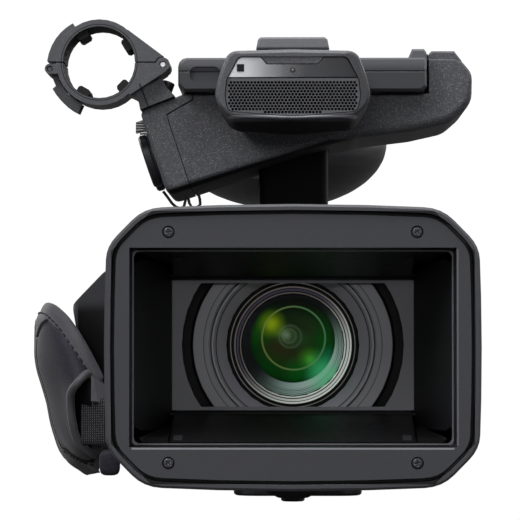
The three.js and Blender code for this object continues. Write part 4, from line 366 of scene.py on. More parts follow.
BARREL_MOUTH = -100
lens_black = moulded("satin_black", grey(30), 0.38)
ahead = 1.0 - (lens_black.along("Y") - BARREL_MOUTH).ease(-1, 0)
lens_black.set(Base_Color=lens_black.mix(ahead, grey(30), shade(5, 5, 6)))
dress(["lens_barrel"], lens_black, 0.3)
dress(["iris_ring", "zoom_ring", "focus_ring"], moulded("ring_rubber", grey(36), 0.75, 0.03), 0.15)


def from_axis(finish, x=0.0, z=0.0):
    """Distance of a point from a line beside the lens axis."""
    return finish.from_line(x, LENS_HEIGHT + z)


def painted_light_side(finish):
    """Painted light: 1 towards the lower right of the lens, 0 towards its upper left."""
    lean = finish.along("X") * 0.66 - (finish.along("Z") - LENS_HEIGHT) * 0.75
    return (lean / from_axis(finish).larger(1.0)).ease(-0.5, 1.0)


FRONT_RING_RADIUS = 38.6
# Painted light in the ramp: the inward cone from 25 to 28.6 mm is painted lighter than the face, for the
# front light that misses it, and the band from 29.1 to 30.5 mm is a painted highlight.
front_ring = Finish("front_ring_paint", shine=0.4)
front_ring.set(
    Base_Color=front_ring.ramp(from_axis(front_ring), FRONT_RING_RADIUS, [
        (0, shade(5, 5, 6)), (24.8, shade(5, 5, 6)),
        (25.0, shade(164, 160, 170)), (28.6, shade(170, 166, 176)),
        (28.7, grey(40)), (28.95, grey(40)),
        (29.1, grey(150)), (30.5, grey(156)),
        (30.65, grey(20)), (31.0, grey(20)),
        (31.2, grey(138)), (33.3, grey(132)),
        (33.4, grey(66)), (33.6, grey(66)),
        (33.7, grey(136)), (37.2, grey(132)),
        (37.5, grey(12)), (FRONT_RING_RADIUS, grey(8)),
    ]),
    Roughness=0.5,
)
front_ring.relief(front_ring.noise(1800), 0.015)
dress(["lens_front_ring"], front_ring, 0.15)

# The ring's colour is painted light: bright towards its lower right, where it would mirror the key lamp,
# dark purple-grey towards its upper left, with painted glints on two of its edges.
silver = Finish("turned_silver", shine=0.2)
radius = from_axis(silver)
lit = painted_light_side(silver)
silver.colour = silver.mix(lit ** 1.5, shade(70, 66, 80), shade(246, 252, 247))
fine = silver.node("TexNoise", {"noise_dimensions": "1D"}, {"W": radius, "Scale": 2.6, "Detail": 3})
silver.coat(fine.ease(0.45, 0.6) * 0.3, shade(40, 42, 44))
painted_glint = silver.mix(lit, shade(120, 112, 100), shade(235, 240, 232))
for at, width, share, colour in (
    (22.0, 0.4, 0.8, painted_glint), (19.9, 0.35, 0.8, painted_glint),
    (20.35, 0.35, 1.0, shade(8, 8, 10)), (21.5, 0.25, 1.0, shade(14, 14, 16)),
):
    silver.coat(radius.ring(at, width) * share, colour)
silver.coat(radius.ease(22.25, 22.4), shade(3, 3, 4))
silver.coat(radius.ring(23.65, 0.3) * 0.8, shade(116, 114, 108))
# The painted highlight also glows, as the ring's emission colour.
silver.set(
    Base_Color=silver.colour,
    Metallic=1.0 - radius.ease(22.1, 22.3),
    Roughness=0.3,
    Emission_Color=silver.colour,
    Emission_Strength=0.5,
)
dress(["lens_inner_ring"], silver, 0.1)

coated = Finish("coated_glass", shine=0.3)
coated.set(Base_Color=shade(10, 22, 14), Roughness=0.03, Alpha=0.05, IOR=1.15)
dress(["front_lens", "eyepiece_lens"], coated)

# The inner glass's colour is painted reflection: its mount shows as rings on a painted lit wall, its
# coatings as soft green spots, glints and a halo, and it is darker at its top. A spot has its place
# beside the axis, its reach, its colour and its strength.
glass = Finish("inner_glass", shine=0.1)
radius = from_axis(glass)
lit = painted_light_side(glass)
inward = from_axis(glass, z=1.7)
painted_wall_light = glass.mix(lit ** 2.6, shade(15, 16, 18), shade(134, 158, 150))
for at, share in ((16.9, 0.5), (17.5, 0.9), (18.1, 0.6), (18.7, 0.9), (19.2, 0.7)):
    painted_wall_light = glass.mix(radius.ring(at, 0.25) * share * lit, painted_wall_light, shade(14, 40, 26))
glass.colour = glass.mix(from_axis(glass, 1, 0).ease(5, 15), shade(28, 36, 14), shade(2, 44, 6))
glass.coat(glass.noise(110).ease(0.35, 0.65) * 0.5, shade(8, 26, 8))
glass.coat(glass.along("Z").ease(67, 77), shade(14, 17, 12))
for x, z, reach, colour, share in (
    (-10.5, 7.0, 10.0, shade(14, 70, 4), 0.8), (-8.0, 8.0, 6.5, shade(106, 130, 8), 0.7),
    (-7.9, 7.9, 3.6, shade(136, 156, 12), 0.6), (-5.6, 5.8, 3.6, shade(80, 108, 16), 0.5),
    (-2.2, 3.4, 5.6, shade(66, 92, 58), 0.6), (-2.6, 3.8, 2.6, shade(112, 132, 106), 0.5),
    (-6.5, -2.0, 7.0, shade(36, 32, 14), 0.8), (3.5, 2.0, 6.0, shade(30, 62, 28), 0.6),
    (-8.5, -8.0, 8.0, shade(2, 50, 8), 0.7), (11.4, 1.0, 8.0, shade(2, 62, 10), 0.8),
    (6.4, -5.6, 6.0, shade(58, 130, 28), 0.7), (6.6, -5.9, 2.8, shade(70, 160, 30), 0.6),
    (11.8, -9.8, 10.0, shade(24, 132, 78), 0.85), (2.0, -10.0, 8.0, shade(2, 76, 20), 0.7),
    (13.6, -4.0, 5.0, shade(14, 90, 60), 0.6),
):
    spot = 1.0 - from_axis(glass, x, z).ease(0.0, reach)
    glass.coat(spot * share, colour)
painted_swirl = from_axis(glass, -1.4, 3.4).ring(2.6, 0.8)
painted_swirl = painted_swirl + from_axis(glass, -1.0, 3.2).ring(4.2, 0.8)
glass.coat(painted_swirl * 0.09, shade(120, 150, 110))
painted_halo = glass.mix(glass.along("X").ease(-12, 12), shade(104, 120, 60), shade(78, 128, 84))
glass.coat(from_axis(glass, 0.3, 2.6).ring(12.0, 0.62) * 0.6, painted_halo)
glass.coat(inward.ease(14.4, 16.0) * 0.4, shade(3, 12, 6))
glass.coat(inward.ease(15.9, 16.3), painted_wall_light)
painted_sheen = 1.0 - from_axis(glass, 13.4, -12.6).ease(1.0, 10.0)
glass.coat(painted_sheen * 0.55, shade(70, 186, 122))
# The painted reflections also glow, as the glass's emission colour.
glass.set(
    Base_Color=glass.mix(0.85, glass.colour, shade(2, 3, 2)),
    Roughness=0.25,
    Emission_Color=glass.colour,
    Emission_Strength=0.85,
)
dress(["inner_lens"], glass)


# Hood
# A large moulded hood, painted near black inside its rim for the shade in the groove before the plate,
# with a black funnel screwed into its mouth. Two shutter doors lie open against the funnel, and a grey
# plate shows through the window behind them.
HOOD_MIDDLE = 60.1
RIM_BACK = -160
RIM_INNER_HALF_WIDTH = 65
RIM_INNER_HALF_HEIGHT = 48.8
RIM_INNER_CORNER = 99.4
hood = moulded("hood_plastic", grey(64), 0.5, drift=0.06)
sideways = abs(hood.along("X"))
upward = abs(hood.along("Z") - HOOD_MIDDLE)
painted_groove_shade = (sideways < RIM_INNER_HALF_WIDTH) * (upward < RIM_INNER_HALF_HEIGHT)
painted_groove_shade = painted_groove_shade * ((sideways + upward) < RIM_INNER_CORNER) * (hood.along("Y") < RIM_BACK)
hood.colour = hood.mix(hood.noise(2300), grey(62), grey(76))
# Painted shade: the groove inside the rim is coloured near black.
hood.coat(painted_groove_shade, shade(5, 5, 6))
hood.set(Base_Color=hood.colour)
dress(["hood_shell"], hood, 0.5)
release_black = moulded("release_black", grey(24), 0.45)
dress(["hood_release_button", "shutter_lever"], release_black, 0.3)

# Painted light: the funnel's side walls are painted a little lighter near the mouth, and painted
# highlights line the mouth's left and lower edges on the front plate.
PLATE_FRONT = -174
MOUTH_HALF_WIDTH = 57.9
MOUTH_HALF_HEIGHT = 35.15
SIDE_WALL_START = 44
CORNER_LEAN = 0.85
CORNER_OFFSET = 13.2
funnel = Finish("funnel_paint", shine=0.3)
sideways = abs(funnel.along("X"))
upward = abs(funnel.along("Z") - HOOD_MIDDLE)
funnel.colour = funnel.mix(funnel.noise(2300), grey(62), grey(76))
# Painted highlights on the mouth's lower and left edges, and painted light on the side walls.
painted_lower_edge_highlight = funnel.along("Z").ring(HOOD_MIDDLE - MOUTH_HALF_HEIGHT - 1.0, 0.55)
funnel.coat(painted_lower_edge_highlight * (sideways < MOUTH_HALF_WIDTH - 0.3), shade(150, 150, 156))
painted_side_edge_highlight = funnel.along("X").ring(MOUTH_HALF_WIDTH + 1.05, 0.4)
funnel.coat(painted_side_edge_highlight * (upward < MOUTH_HALF_HEIGHT - 0.15), shade(112, 112, 118))
painted_side_wall_light = (sideways > SIDE_WALL_START) * ((sideways * CORNER_LEAN - upward) > CORNER_OFFSET)
painted_side_wall_light = painted_side_wall_light * (1.0 - funnel.along("Y").ease(-164, -135))
behind_face = (funnel.along("Y") - PLATE_FRONT).ease(0.3, 0.7)
funnel.coat(behind_face, funnel.mix(painted_side_wall_light, shade(4, 3, 5), shade(26, 25, 29)))
funnel.set(Base_Color=funnel.colour, Roughness=0.52)
funnel.relief(funnel.noise(2600), 0.02)
dress(["hood_baffle"], funnel, 0.25)


def rounded_frame(half_width, half_height, corner, steps=6):
    """Points of a rounded rectangle round the hood's middle, across and up."""
    outline = []
    for quarter, (side, level) in enumerate(((1, 1), (-1, 1), (-1, -1), (1, -1))):
        for k in range(steps + 1):
            outline.append(polar(corner, 90 * (quarter + k / steps), side * (half_width - corner),
                                 HOOD_MIDDLE + level * (half_height - corner)))
    return outline


# A thin grey frame lines the mouth of the funnel, behind the front plate.
LIP_FRONT = -165.9
LIP_DEPTH = 0.8
LIP_WIDTH = 0.6
LIP_CORNER = 1.6
outer = rounded_frame(MOUTH_HALF_WIDTH, MOUTH_HALF_HEIGHT, LIP_CORNER)
inner = rounded_frame(MOUTH_HALF_WIDTH - LIP_WIDTH, MOUTH_HALF_HEIGHT - LIP_WIDTH,
                      LIP_CORNER + LIP_WIDTH)
turns = len(outer)
points = [(x, y, z) for y in (LIP_FRONT, LIP_FRONT + LIP_DEPTH) for ring in (outer, inner) for x, z in ring]
faces = []
for k in range(turns):
    after = (k + 1) % turns
    for low, high in ((0, turns), (turns, 3 * turns), (3 * turns, 2 * turns), (2 * turns, 0)):
        faces.append((low + k, low + after, high + after, high + k))
piece("mouth_lip", moulded("mouth_lip", shade(100, 100, 105), 0.45), "dark_plastic", points, faces,
      smooth=False)

dress(["shutter_upper", "shutter_lower"], moulded("door_black", shade(8, 8, 10), 0.5, shine=0.25), 0.2)
dress(["hood_rear_plate"], moulded("plate_grey", grey(104), 0.5, drift=0.06), 0.1)

# Four small screws with cross recesses hold the front plate.
SCREW_ACROSS = 44.5
SCREW_UP = 41.3
screw_steel = moulded("screw_steel", grey(62), 0.3, shine=0.6)
for side in (-1, 1):
    for level in (-1, 1):
        name = f"plate_screw_{'left' if side > 0 else 'right'}_{'upper' if level > 0 else 'lower'}"
        middle = Vector((side * SCREW_ACROSS, PLATE_FRONT + 0.95, HOOD_MIDDLE + level * SCREW_UP))
        screw = piece(name, screw_steel, "steel", *revolved(
            [(0.9, 0.85), (1.5, 0.78), (1.85, 0.5), (1.95, 0.2), (1.95, 0)], middle, (0, -1, 0)))
        turn = Matrix.Rotation(radians(20 + 30 * side * level), 3, "Y")
        for arm in (rectangle(0.2, 1.05), rectangle(1.05, 0.2)):
            points, faces = prism(arm, -1.1, -0.25)
            points = [middle + turn @ point for point in points]
            recess = piece("recess", release_black, "steel", points, faces, smooth=False)
            carved(screw, recess, "EXACT")

# Each pad is found where the photograph shows it, pixels across and down.
door_pad = moulded("door_pad", grey(26), 0.6)
for node, down in (("shutter_upper", 260.5), ("shutter_lower", 438.5)):
    for end, across in (("right", 178), ("left", 407)):
        place, normal = sight(across, down, nodes[node])
        along = Vector((0, normal.z, -normal.y)).normalized()
        points = [place + Vector((x, 0, 0)) + along * y + normal * lift
                  for lift in (-0.2, 0.35) for x, y in rectangle(1.6, 3.4)]
        piece(f"{node}_pad_{end}", door_pad, "dark_plastic", points, wrapped(2, 4), smooth=False,
              body=f"{node}_body")


# Body
# Two moulded cases that meet in a seam, with a metal tripod base below, the battery behind and the
# controls on the left side.
body_plastic = moulded("body_plastic", grey(62), 0.52)
dress(["body_left_case", "body_right_case", "card_cover"], body_plastic, 0.5)
dress(["tripod_base"], moulded("base_metal", grey(52), 0.4), 0.3)
control_black = moulded("control_black", grey(24), 0.45)
dress(["nd_filter_lever", "menu_dial", "audio_dial_1", "audio_dial_2", "assign_button"], control_black, 0.2)
control_grey = moulded("control_grey", grey(120), 0.4)
dress(["gain_switch", "white_balance_switch", "battery_release"], control_grey, 0.2)
dress(["battery"], moulded("battery_plastic", grey(34), 0.5), 0.6)


# Grip
# A hand-sized moulding on the right case, with a rubber zoom rocker on top and a power ring round a
# red record button behind. Behind the belt's front end it is painted near black for the shade it lies in.
SHADE_TOP = 80
SHADE_BACK = -10
grip_plastic = moulded("grip_plastic", grey(58), 0.55, 0.05, shine=0.3)
# Painted shade on the lower front, behind the belt's front end.
shaded = 1.0 - grip_plastic.along("Z").ease(SHADE_TOP - 6, SHADE_TOP)
shaded = shaded * (grip_plastic.along("Y") < SHADE_BACK)
grip_plastic.set(Base_Color=grip_plastic.mix(shaded, grey(58), shade(5, 5, 7)))
dress(["grip_body"], grip_plastic, 0.6)
dress(["grip_zoom_rocker", "handle_zoom_rocker"], moulded("rocker_rubber", grey(34), 0.7), 0.4)
dress(["power_switch"], control_black, 0.2)
dress(["grip_rec_button", "handle_rec_button"], moulded("record_red", shade(168, 32, 30), 0.35), 0.3)


# Belt
# A padded hand belt: a stuffed leather cushion with a stitched channel near its edge, two dark leather
# covers on it, the front one with a piped edge that stands off, and woven webbing behind.
# Its middle follows the stops. Its height at each of them is a share of the full one, and its section
# bows outward by so much, from its lower edge to its upper one.
BELT_STOPS = [(-77, -30, 34), (-88, -23, 42), (-97, -8, 45), (-101, 12, 44),
              (-101, 34, 43), (-98, 54, 42), (-93, 72, 40), (-87, 88, 38)]
BELT_HALF_HEIGHT = 34.5
BELT_SHARES = [0.3, 0.64, 0.96, 1, 0.98, 0.88, 0.64, 0.35]
BELT_SECTION = [-5.4, -4.9, -4.4, -2.9, -1.6, 0.6, 2.7, 3.6, 3.6, 3.8, 1.8]
BELT_SKIN = 3.25
FULLNESS = 0.86
UPPER_BAND = 3.7
LOWER_BAND = 2.3
COVER_MARGIN = 1.3

# Its front end, by steps of a twentieth of its length: how far it reaches below its middle and above
# its half height, and how far its lower and upper edges lean in to the camera.
FRONT_END = 0.4
FRONT_LOWER = [8, 15, 22, 29, 34, 36.5, 37, 37.5, 37.6]
FRONT_UPPER = [3.5, 2.4, 2.2, 2, 1.6, 0.6, 0, 0, 0]
LOWER_LEAN = [0, 2.5, 5, 7.5, 9, 11, 13, 12, 10]
UPPER_LEAN = [1.2, 2, 2.3, 2.3, 2, 1, 0, 0, 0]
LOWER_FULLNESS = 1.093


def smooth_run(stops, share):
    """A point of a smooth line through stops, share from 0 to 1."""
    stops = [Vector(stop) for stop in stops]
    spot = (len(stops) - 1) * share
    k = min(int(spot), len(stops) - 2)
    part = spot - k
    start, end = stops[k], stops[k + 1]
    before = stops[k - 1] if k else start * 2 - end
    after = stops[k + 2] if k + 2 < len(stops) else end * 2 - start
    gaps = [max((q - p).length ** 0.5, 1e-4) for p, q in ((before, start), (start, end), (end, after))]
    lead = (start - before) / gaps[0] - (end - before) / (gaps[0] + gaps[1]) + (end - start) / gaps[1]
    trail = (end - start) / gaps[1] - (after - start) / (gaps[1] + gaps[2]) + (after - end) / gaps[2]
    lead *= gaps[1]
    trail *= gaps[1]
    return (start + lead * part + (end * 3 - start * 3 - lead * 2 - trail) * part ** 2
            + (start * 2 - end * 2 + lead + trail) * part ** 3)


def smooth_level(levels, share):
    """A smooth run of numbers."""
    return smooth_run([(level, 0, 0) for level in levels], share).x


def belt_half(along):
    """Half the belt's height, without what its front end adds."""
    return smooth_level(BELT_SHARES, along) * BELT_HALF_HEIGHT


def front_level(levels, along):
    """A value of the front end, and its last one behind it."""
    return smooth_level(levels, min(1, along / FRONT_END))


def belt_reach(along, across):
    """How far the belt reaches above or below its middle."""
    if across > 0:
        return belt_half(along) + front_level(FRONT_UPPER, along)
    return front_level(FRONT_LOWER, along) if along < FRONT_END else belt_half(along) * LOWER_FULLNESS


def beside(stops, share, step):
    """The level direction beside a smooth line through stops."""
    ahead = smooth_run(stops, min(1, share + step)) - smooth_run(stops, max(0, share - step))
    return Vector((ahead.y, -ahead.x, 0)).normalized()


def belt_outward(along):
    """The level direction away from the grip."""
    return -beside(BELT_STOPS, along, 0.001)


def belt_spot(along, across, lift):
    """A point of the belt: along it, across it from -1 to 1, and so far outward of its middle."""
    bow = smooth_level(BELT_SECTION, (across + 1) / 2) * belt_half(along) / BELT_HALF_HEIGHT
    lean = front_level(LOWER_LEAN, along) * max(0, -across) ** 5
    lean += front_level(UPPER_LEAN, along) * max(0, across) ** 4
    spot = smooth_run(BELT_STOPS, along) + belt_outward(along) * (bow + lift)
    return spot + Vector((lean, 0, belt_reach(along, across) * across))


def skin(across):
    """The cushion's half thickness before it is filled."""
    return BELT_SKIN * sqrt(max(0.08, 1 - abs(across) ** 6))


def on_cushion(along, across, lift):
    """A point of the belt, so far off the cushion's outer side."""
    return belt_spot(along, across, skin(across) * FULLNESS + lift)


def leaf(rows, columns, outer, inner):
    """Points and faces of a closed shell between two grids of points."""
    points = []
    for side in (outer, inner):
        for row in range(rows + 1):
            for column in range(columns + 1):
                points.append(side(row / rows, 2 * column / columns - 1))
    width = columns + 1
    layer = (rows + 1) * width
    faces = []

    def face(k, one, other):
        faces.append((k, k + one, k + one + other, k + other))

    for row in range(rows):
        for column in range(columns):
            face(row * width + column, 1, width)
            face(layer + row * width + column, width, 1)
    for row in range(rows):
        face(row * width, width, layer)
        face(row * width + columns, width, layer)
    for column in range(columns):
        face(column, 1, layer)
        face(rows * width + column, 1, layer)
    return points, faces


def sheet(rows, columns, spot, lift):
    """Points and faces of a cover in the cushion, with a lift that varies over it."""
    return leaf(rows, columns, lambda share, across: spot(share, across, lift(share, across)),
                lambda share, across: spot(share, across, -1))


def swell(thing, cap):
    """Fills a closed form by a short cloth simulation, by no more than a cap."""
    start = [vertex.co.copy() for vertex in thing.data.vertices]
    cloth = modify(thing, "CLOTH")
    cloth.settings.use_pressure = True
    cloth.settings.uniform_pressure_force = 4
    cloth.settings.effector_weights.gravity = 0
    for number in range(1, 21):
        scene.frame_set(number)
    baked(thing)
    for vertex, old in zip(thing.data.vertices, start):
        move = vertex.co - old
        if move.length > cap * MM:
            vertex.co = old + move.normalized() * (cap * MM)
    scene.frame_set(1)


def leather(name, level, shine=0.4, contrast=1.0):
    """Grained leather: small cells with creases between them, worn a little lighter on their tops."""
    finish = Finish(name, shine)
    grain = finish.cells(900) * 0.5
    finish.set(
        Base_Color=finish.mix(
            finish.noise(60, 3) * 0.6 + grain,
            shade(*(level + step * contrast for step in (-5, -6, -1))),
            shade(*(level + step * contrast for step in (8, 7, 12))),
        ),
        Roughness=0.62,
        Sheen_Weight=0.15,
        Sheen_Roughness=0.5,
    )
    return finish.relief(finish.cells(1100), 0.12, 0.5)


EDGE_CROWDING = 1.25
GROOVE_DEPTH = 0.9
GROOVE_WIDTH = 0.9
INNER_FULLNESS = 0.8
MOST_SWELL = 0.3
edge_leather = leather("edge_leather", 60)


def crowded(across):
    """Brings grid columns closer together at the edges."""
    return sin(across * pi / 2 / EDGE_CROWDING) / sin(pi / 2 / EDGE_CROWDING)


def groove(along, across):
    """How deep the stitched channel presses the cushion in."""
    from_edge = belt_reach(along, across) * (1 - abs(across))
    band = UPPER_BAND if across > 0 else LOWER_BAND
    return GROOVE_DEPTH * exp(-((from_edge - band) / GROOVE_WIDTH) ** 2)


def cushion_side(outer):
    """The cushion's outer or inner side, thinner towards its two ends."""
    def spot(share, column):
        across = crowded(column)
        lift = skin(across) * FULLNESS - groove(share, across) if outer else -skin(across) * INNER_FULLNESS
        return belt_spot(share, across, lift * sqrt(max(0.05, 1 - (2 * share - 1) ** 30)))
    return spot


cushion = piece("belt_cushion", edge_leather, "padded_leather",
                *leaf(72, 30, cushion_side(True), cushion_side(False)))
swell(cushion, MOST_SWELL)
modify(cushion, "SUBSURF", levels=1)
baked(cushion)
cushion.data.shade_smooth()
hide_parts("belt_pad")

# The front cover ends on the outer side: its upper edge turns down there, and its lower edge rises to
# meet it. Its lower reach is given by steps of a seventh of its length, and the place of its front
# edge along the belt by steps of an eighth of its height, from its lower end up.
COVER_END = 0.35
FOLD_START = 0.255
FOLD_LENGTH = 0.08
FOLD_DROP = 0.32
LOWER_EDGE = [0.97, 0.97, 0.97, 0.96, 0.88, 0.78, 0.73, 0.7]
FLAP_EDGE = [0.13, 0.125, 0.118, 0.116, 0.108, 0.092, 0.074, 0.062, 0.055]
FLAP_STAND = 4.2
FLAP_CROWN = 0.35


def inside_band(along, across):
    """Where a cover's edge lies across the belt, beside the stitched band."""
    return 1 - (UPPER_BAND + COVER_MARGIN) / belt_reach(along, across)


def cover_edge(along, across):
    """The front cover's edge, so far across the belt."""
    if across <= 0:
        return smooth_level(LOWER_EDGE, min(1, along / COVER_END))
    fold = min(1, max(0, (along - FOLD_START) / FOLD_LENGTH))
    return inside_band(along, across) * (1 - FOLD_DROP * fold)


def cover_spot(share, across, lift):
    """A point of the front cover, which stands off at its front edge."""
    front = smooth_level(FLAP_EDGE, (across + 1) / 2)
    along = front + (COVER_END - front) * share
    lift += FLAP_CROWN * (1 - across ** 2)
    lift += FLAP_STAND * exp(-share * 4) * (1 - share) * (1 - abs(across) ** 5)
    return on_cushion(along, across * cover_edge(along, across), lift)


cover_leather = leather("cover_leather", 30, 0.2, contrast=2.2)
cover = piece("belt_cover", cover_leather, "padded_leather", *sheet(
    48, 28, cover_spot, lambda share, across: 0.65 - 0.8 * max(across ** 12, share ** 30)))

BACK_START = 0.42
BACK_END = 0.97


def back_spot(share, across, lift):
    """A point of the rear cover."""
    along = BACK_START + (BACK_END - BACK_START) * share
    return on_cushion(along, across * inside_band(along, across), lift)


back_cover = piece("belt_back_cover", cover_leather, "padded_leather", *sheet(
    48, 24, back_spot, lambda share, across: 0.8 - max(across ** 12, (2 * share - 1) ** 30)))

# The front cover's open edge is piped, its other edges are sewn down in a seam, and a welt runs along
# its fold. Black cloth lines the cushion under the open edge, and its black is partly painted shade,
# for the shadow under that edge.
PIPING_RADIUS = 1.7
WELT_RADIUS = 0.55
SEAM_RADIUS = 0.36
piping_leather = leather("piping_leather", 66, 0.6)
piping = [cover_spot(0, k / 20 - 1, -0.3) for k in range(41)]
piece("belt_piping", piping_leather, "padded_leather", *tube(piping, PIPING_RADIUS))
seam = [cover_spot(k / 40, -1, 0.15) for k in range(41)]
seam += [cover_spot(1, k / 20 - 1, 0.15) for k in range(1, 40)]
piece("belt_seam", moulded("seam_black", shade(8, 8, 10), 0.8, shine=0.2), "webbing",
      *tube(seam, SEAM_RADIUS, 8))

LINING_START = 0.03
LINING_LENGTH = 0.16


def lining_spot(share, across, lift):
    """A point of the cloth under the front cover's open edge."""
    along = LINING_START + LINING_LENGTH * share
    return on_cushion(along, across * min(0.88, cover_edge(along, across) - 0.02), lift)


# The lining's black is partly painted shade under the open edge.
piece("belt_lining_and_painted_shade", moulded("belt_lining_and_painted_shade", shade(9, 9, 11), 0.9, shine=0.15), "webbing", *sheet(
    14, 18, lining_spot, lambda share, across: 0.6 - 0.6 * across ** 8))

fold = [FOLD_START + FOLD_LENGTH * k / 10 for k in range(11)]
welt = [on_cushion(along, cover_edge(along, 1), 0.7) for along in fold]
piece("belt_welt", piping_leather, "padded_leather", *tube(welt, WELT_RADIUS))

# One row of stitches runs along the upper channel, and two follow the front cover's lower edge.
STITCH_LENGTH = 0.0135
STITCH_GAP = 0.0075
THREAD_RADIUS = 0.28


def stitch(start, end):
    """A stitch from one needle hole to the next, pressed into the cushion."""
    run = []
    for share in (0, 0.25, 0.5, 0.75, 1):
        _, place, normal, _ = cushion.closest_point_on_mesh(start.lerp(end, share) * MM)
        run.append(place / MM + normal * (0.35 if 0 < share < 1 else -0.1))
    return tube(run, THREAD_RADIUS, 6)


bpy.context.view_layer.update()
stitches = []
for first, last, place in (
    (0.06, 0.93, lambda spot: 1 - UPPER_BAND / belt_reach(spot, 1)),
    (0.17, 0.34, lambda spot: -cover_edge(spot, -1) - 1.7 / belt_reach(spot, -1)),
    (0.19, 0.31, lambda spot: -cover_edge(spot, -1) - 3.1 / belt_reach(spot, -1)),
):
    along = first
    while along < last:
        after = along + STITCH_LENGTH
        stitches.append(stitch(*(belt_spot(spot, place(spot), BELT_SKIN) for spot in (along, after))))
        along = after + STITCH_GAP
piece("belt_stitches", moulded("belt_thread", shade(10, 10, 12), 0.7), "webbing", *joined(stitches))

woven = Finish("woven_webbing", shine=0.2)
ribs = (woven.along("Z") * 9.0).sine()
crossing = ((woven.along("Y") - woven.along("X")) * 4.4).sine()
weave = (ribs * crossing + ribs * 0.35 + crossing * 0.35).ease(-0.2, 0.7)
woven.set(Base_Color=woven.mix(weave, shade(15, 15, 17), shade(98, 98, 102)), Roughness=0.85)
woven.relief(weave, 0.35, 0.8)
WEBBING_HALF = 10
WEBBING_THICKNESS = 1.6
STRAP_LEVEL = 30.2


def strap(stops, half, thickness):
    """Points and faces of a flat strap along smooth stops, upright, with rounded edges."""
    def layer(side):
        def spot(share, across):
            away = side * thickness / 2 * sqrt(max(0.05, 1 - across ** 8))
            upward = Vector((0, 0, across * half))
            return smooth_run(stops, share) + beside(stops, share, 0.01) * away + upward
        return spot
    return leaf(60, 12, layer(1), layer(-1))


# The webbing leaves one keeper of the grip, lies along the cushion's inner side and ends in the other.
inner_stops = [(-53, -25.1, 34), (-62, -25.1, 34)]
for k in range(9):
    along = 0.02 + 0.12 * k
    edge = min(1, WEBBING_HALF / belt_half(along))
    bow = min(belt_spot(along, side * edge, 0).xy.dot(belt_outward(along).xy)
              - smooth_run(BELT_STOPS, along).xy.dot(belt_outward(along).xy) for side in (-1, 1))
    away = BELT_SKIN - bow + WEBBING_THICKNESS
    inner_stops.append(smooth_run(BELT_STOPS, along) - belt_outward(along) * away)
inner_stops += [(-62, 85.1, 38), (-53, 85.1, 38)]
webbing = piece("belt_strap", woven, "webbing",
                *strap(inner_stops, WEBBING_HALF, WEBBING_THICKNESS))
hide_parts("belt_webbing")

# Its outer end comes back over the cushion, under the front cover.
outer_stops = [(-58, -28.6, 29.4), (-64, -32, 29.6), (-71, -35.5, 29.8)]
for along in (0.03, 0.06, 0.09):
    across = (STRAP_LEVEL - smooth_run(BELT_STOPS, along).z) / belt_reach(along, -1)
    outer_stops.append(belt_spot(along, across, BELT_SKIN + 0.9))
piece("belt_strap_end", woven, "webbing", *strap(outer_stops, WEBBING_HALF - 0.4, 1.4))

# The cloth tab below the webbing's outer end lies on the cushion where the photograph shows it.
spots = [sight(across, down, cushion) for across, down in (
    (91, 377), (93, 379), (101.5, 400), (99.5, 405), (96.5, 401), (92.5, 400))]
points = [place + normal * lift for lift in (2.3, 1.4) for place, normal in spots]
piece("belt_tab", leather("tab_cloth", 84, 0.3), "webbing", points, wrapped(2, len(spots)), smooth=False)


def pillow(middle, halves, rows=14, columns=24):
    """Points and faces of a small stuffed form."""
    def bulge(value):
        return copysign(abs(value) ** 0.55, value)
    points = []
    for row in range(rows + 1):
        tilt = pi * (0.02 + 0.96 * row / rows) - pi / 2
        for column in range(columns):
            turn = 2 * pi * column / columns
            points.append(Vector(middle) + Vector((
                halves[0] * bulge(cos(tilt)) * bulge(cos(turn)),
                halves[1] * bulge(cos(tilt)) * bulge(sin(turn)),
                halves[2] * bulge(sin(tilt)))))
    return points, wrapped(rows + 1, columns)


# A small padded stop ends the belt below, beside the webbing.
belt_end = piece("belt_end", cover_leather, "padded_leather",
                 *pillow((-73.8, -32.2, 13.5), (4.2, 2.9, 5.1)))


# Handle
# A die-cast front housing and bar in speckled grey paint, on a near-black neck whose black is partly
# painted shade. The slanted end carries two black audio sockets with bright release tabs. The
# housing's underside, below one slanted and one nearly level line, is painted dark for the shade it
# lies in.
HOUSING_BACK = 10
speckled = Finish("speckled_paint", shine=0.4)
chance = speckled.node("SeparateXYZ", values={0: speckled.cells(2300, "Color")})
spot = 1.0 - speckled.cells(2300).ease(0.15, 0.55)
speckled.colour = speckled.mix(speckled.noise(40, 3), grey(80), grey(88))
speckled.coat(speckled.noise(1500, 3).ease(0.35, 0.7) * 0.55, grey(56))
speckled.coat(spot * chance.ease(0.5, 1.0) * 0.65, shade(172, 173, 178))
slanted_line = speckled.along("X") * 0.312 + 137.3
level_line = speckled.along("X") * 0.045 + 141.2
painted_housing_underside_shade = 1.0 - (speckled.along("Z") - slanted_line.smaller(level_line)).ease(-0.5, 0.4)
# Painted shade on the housing's underside.
speckled.coat(painted_housing_underside_shade * (speckled.along("Y") < HOUSING_BACK), shade(11, 11, 13))
speckled.set(Base_Color=speckled.colour, Roughness=0.6)
speckled.relief(speckled.noise(1300, 3), 0.1, 0.6)
dress(["handle_housing", "xlr_block"], speckled, 0.5)
dress(["handle_bar"], speckled, 0.2)
# The neck's near-black is partly its own black and partly painted shade, as it lies in the handle's shadow.
dress(["handle_neck"], moulded("neck_black_and_painted_shade", shade(5, 5, 6), 0.5, shine=0.15), 0.4)
dress(["xlr_socket_1", "xlr_socket_2"], moulded("socket_black", grey(44), 0.4), 0.3)
dress(["mic_cable_clip"], release_black)

pin_metal = moulded("pin_metal", grey(150), 0.35)
pin_metal.set(Metallic=1.0)
dress(["screen_hinge_pin"], pin_metal)
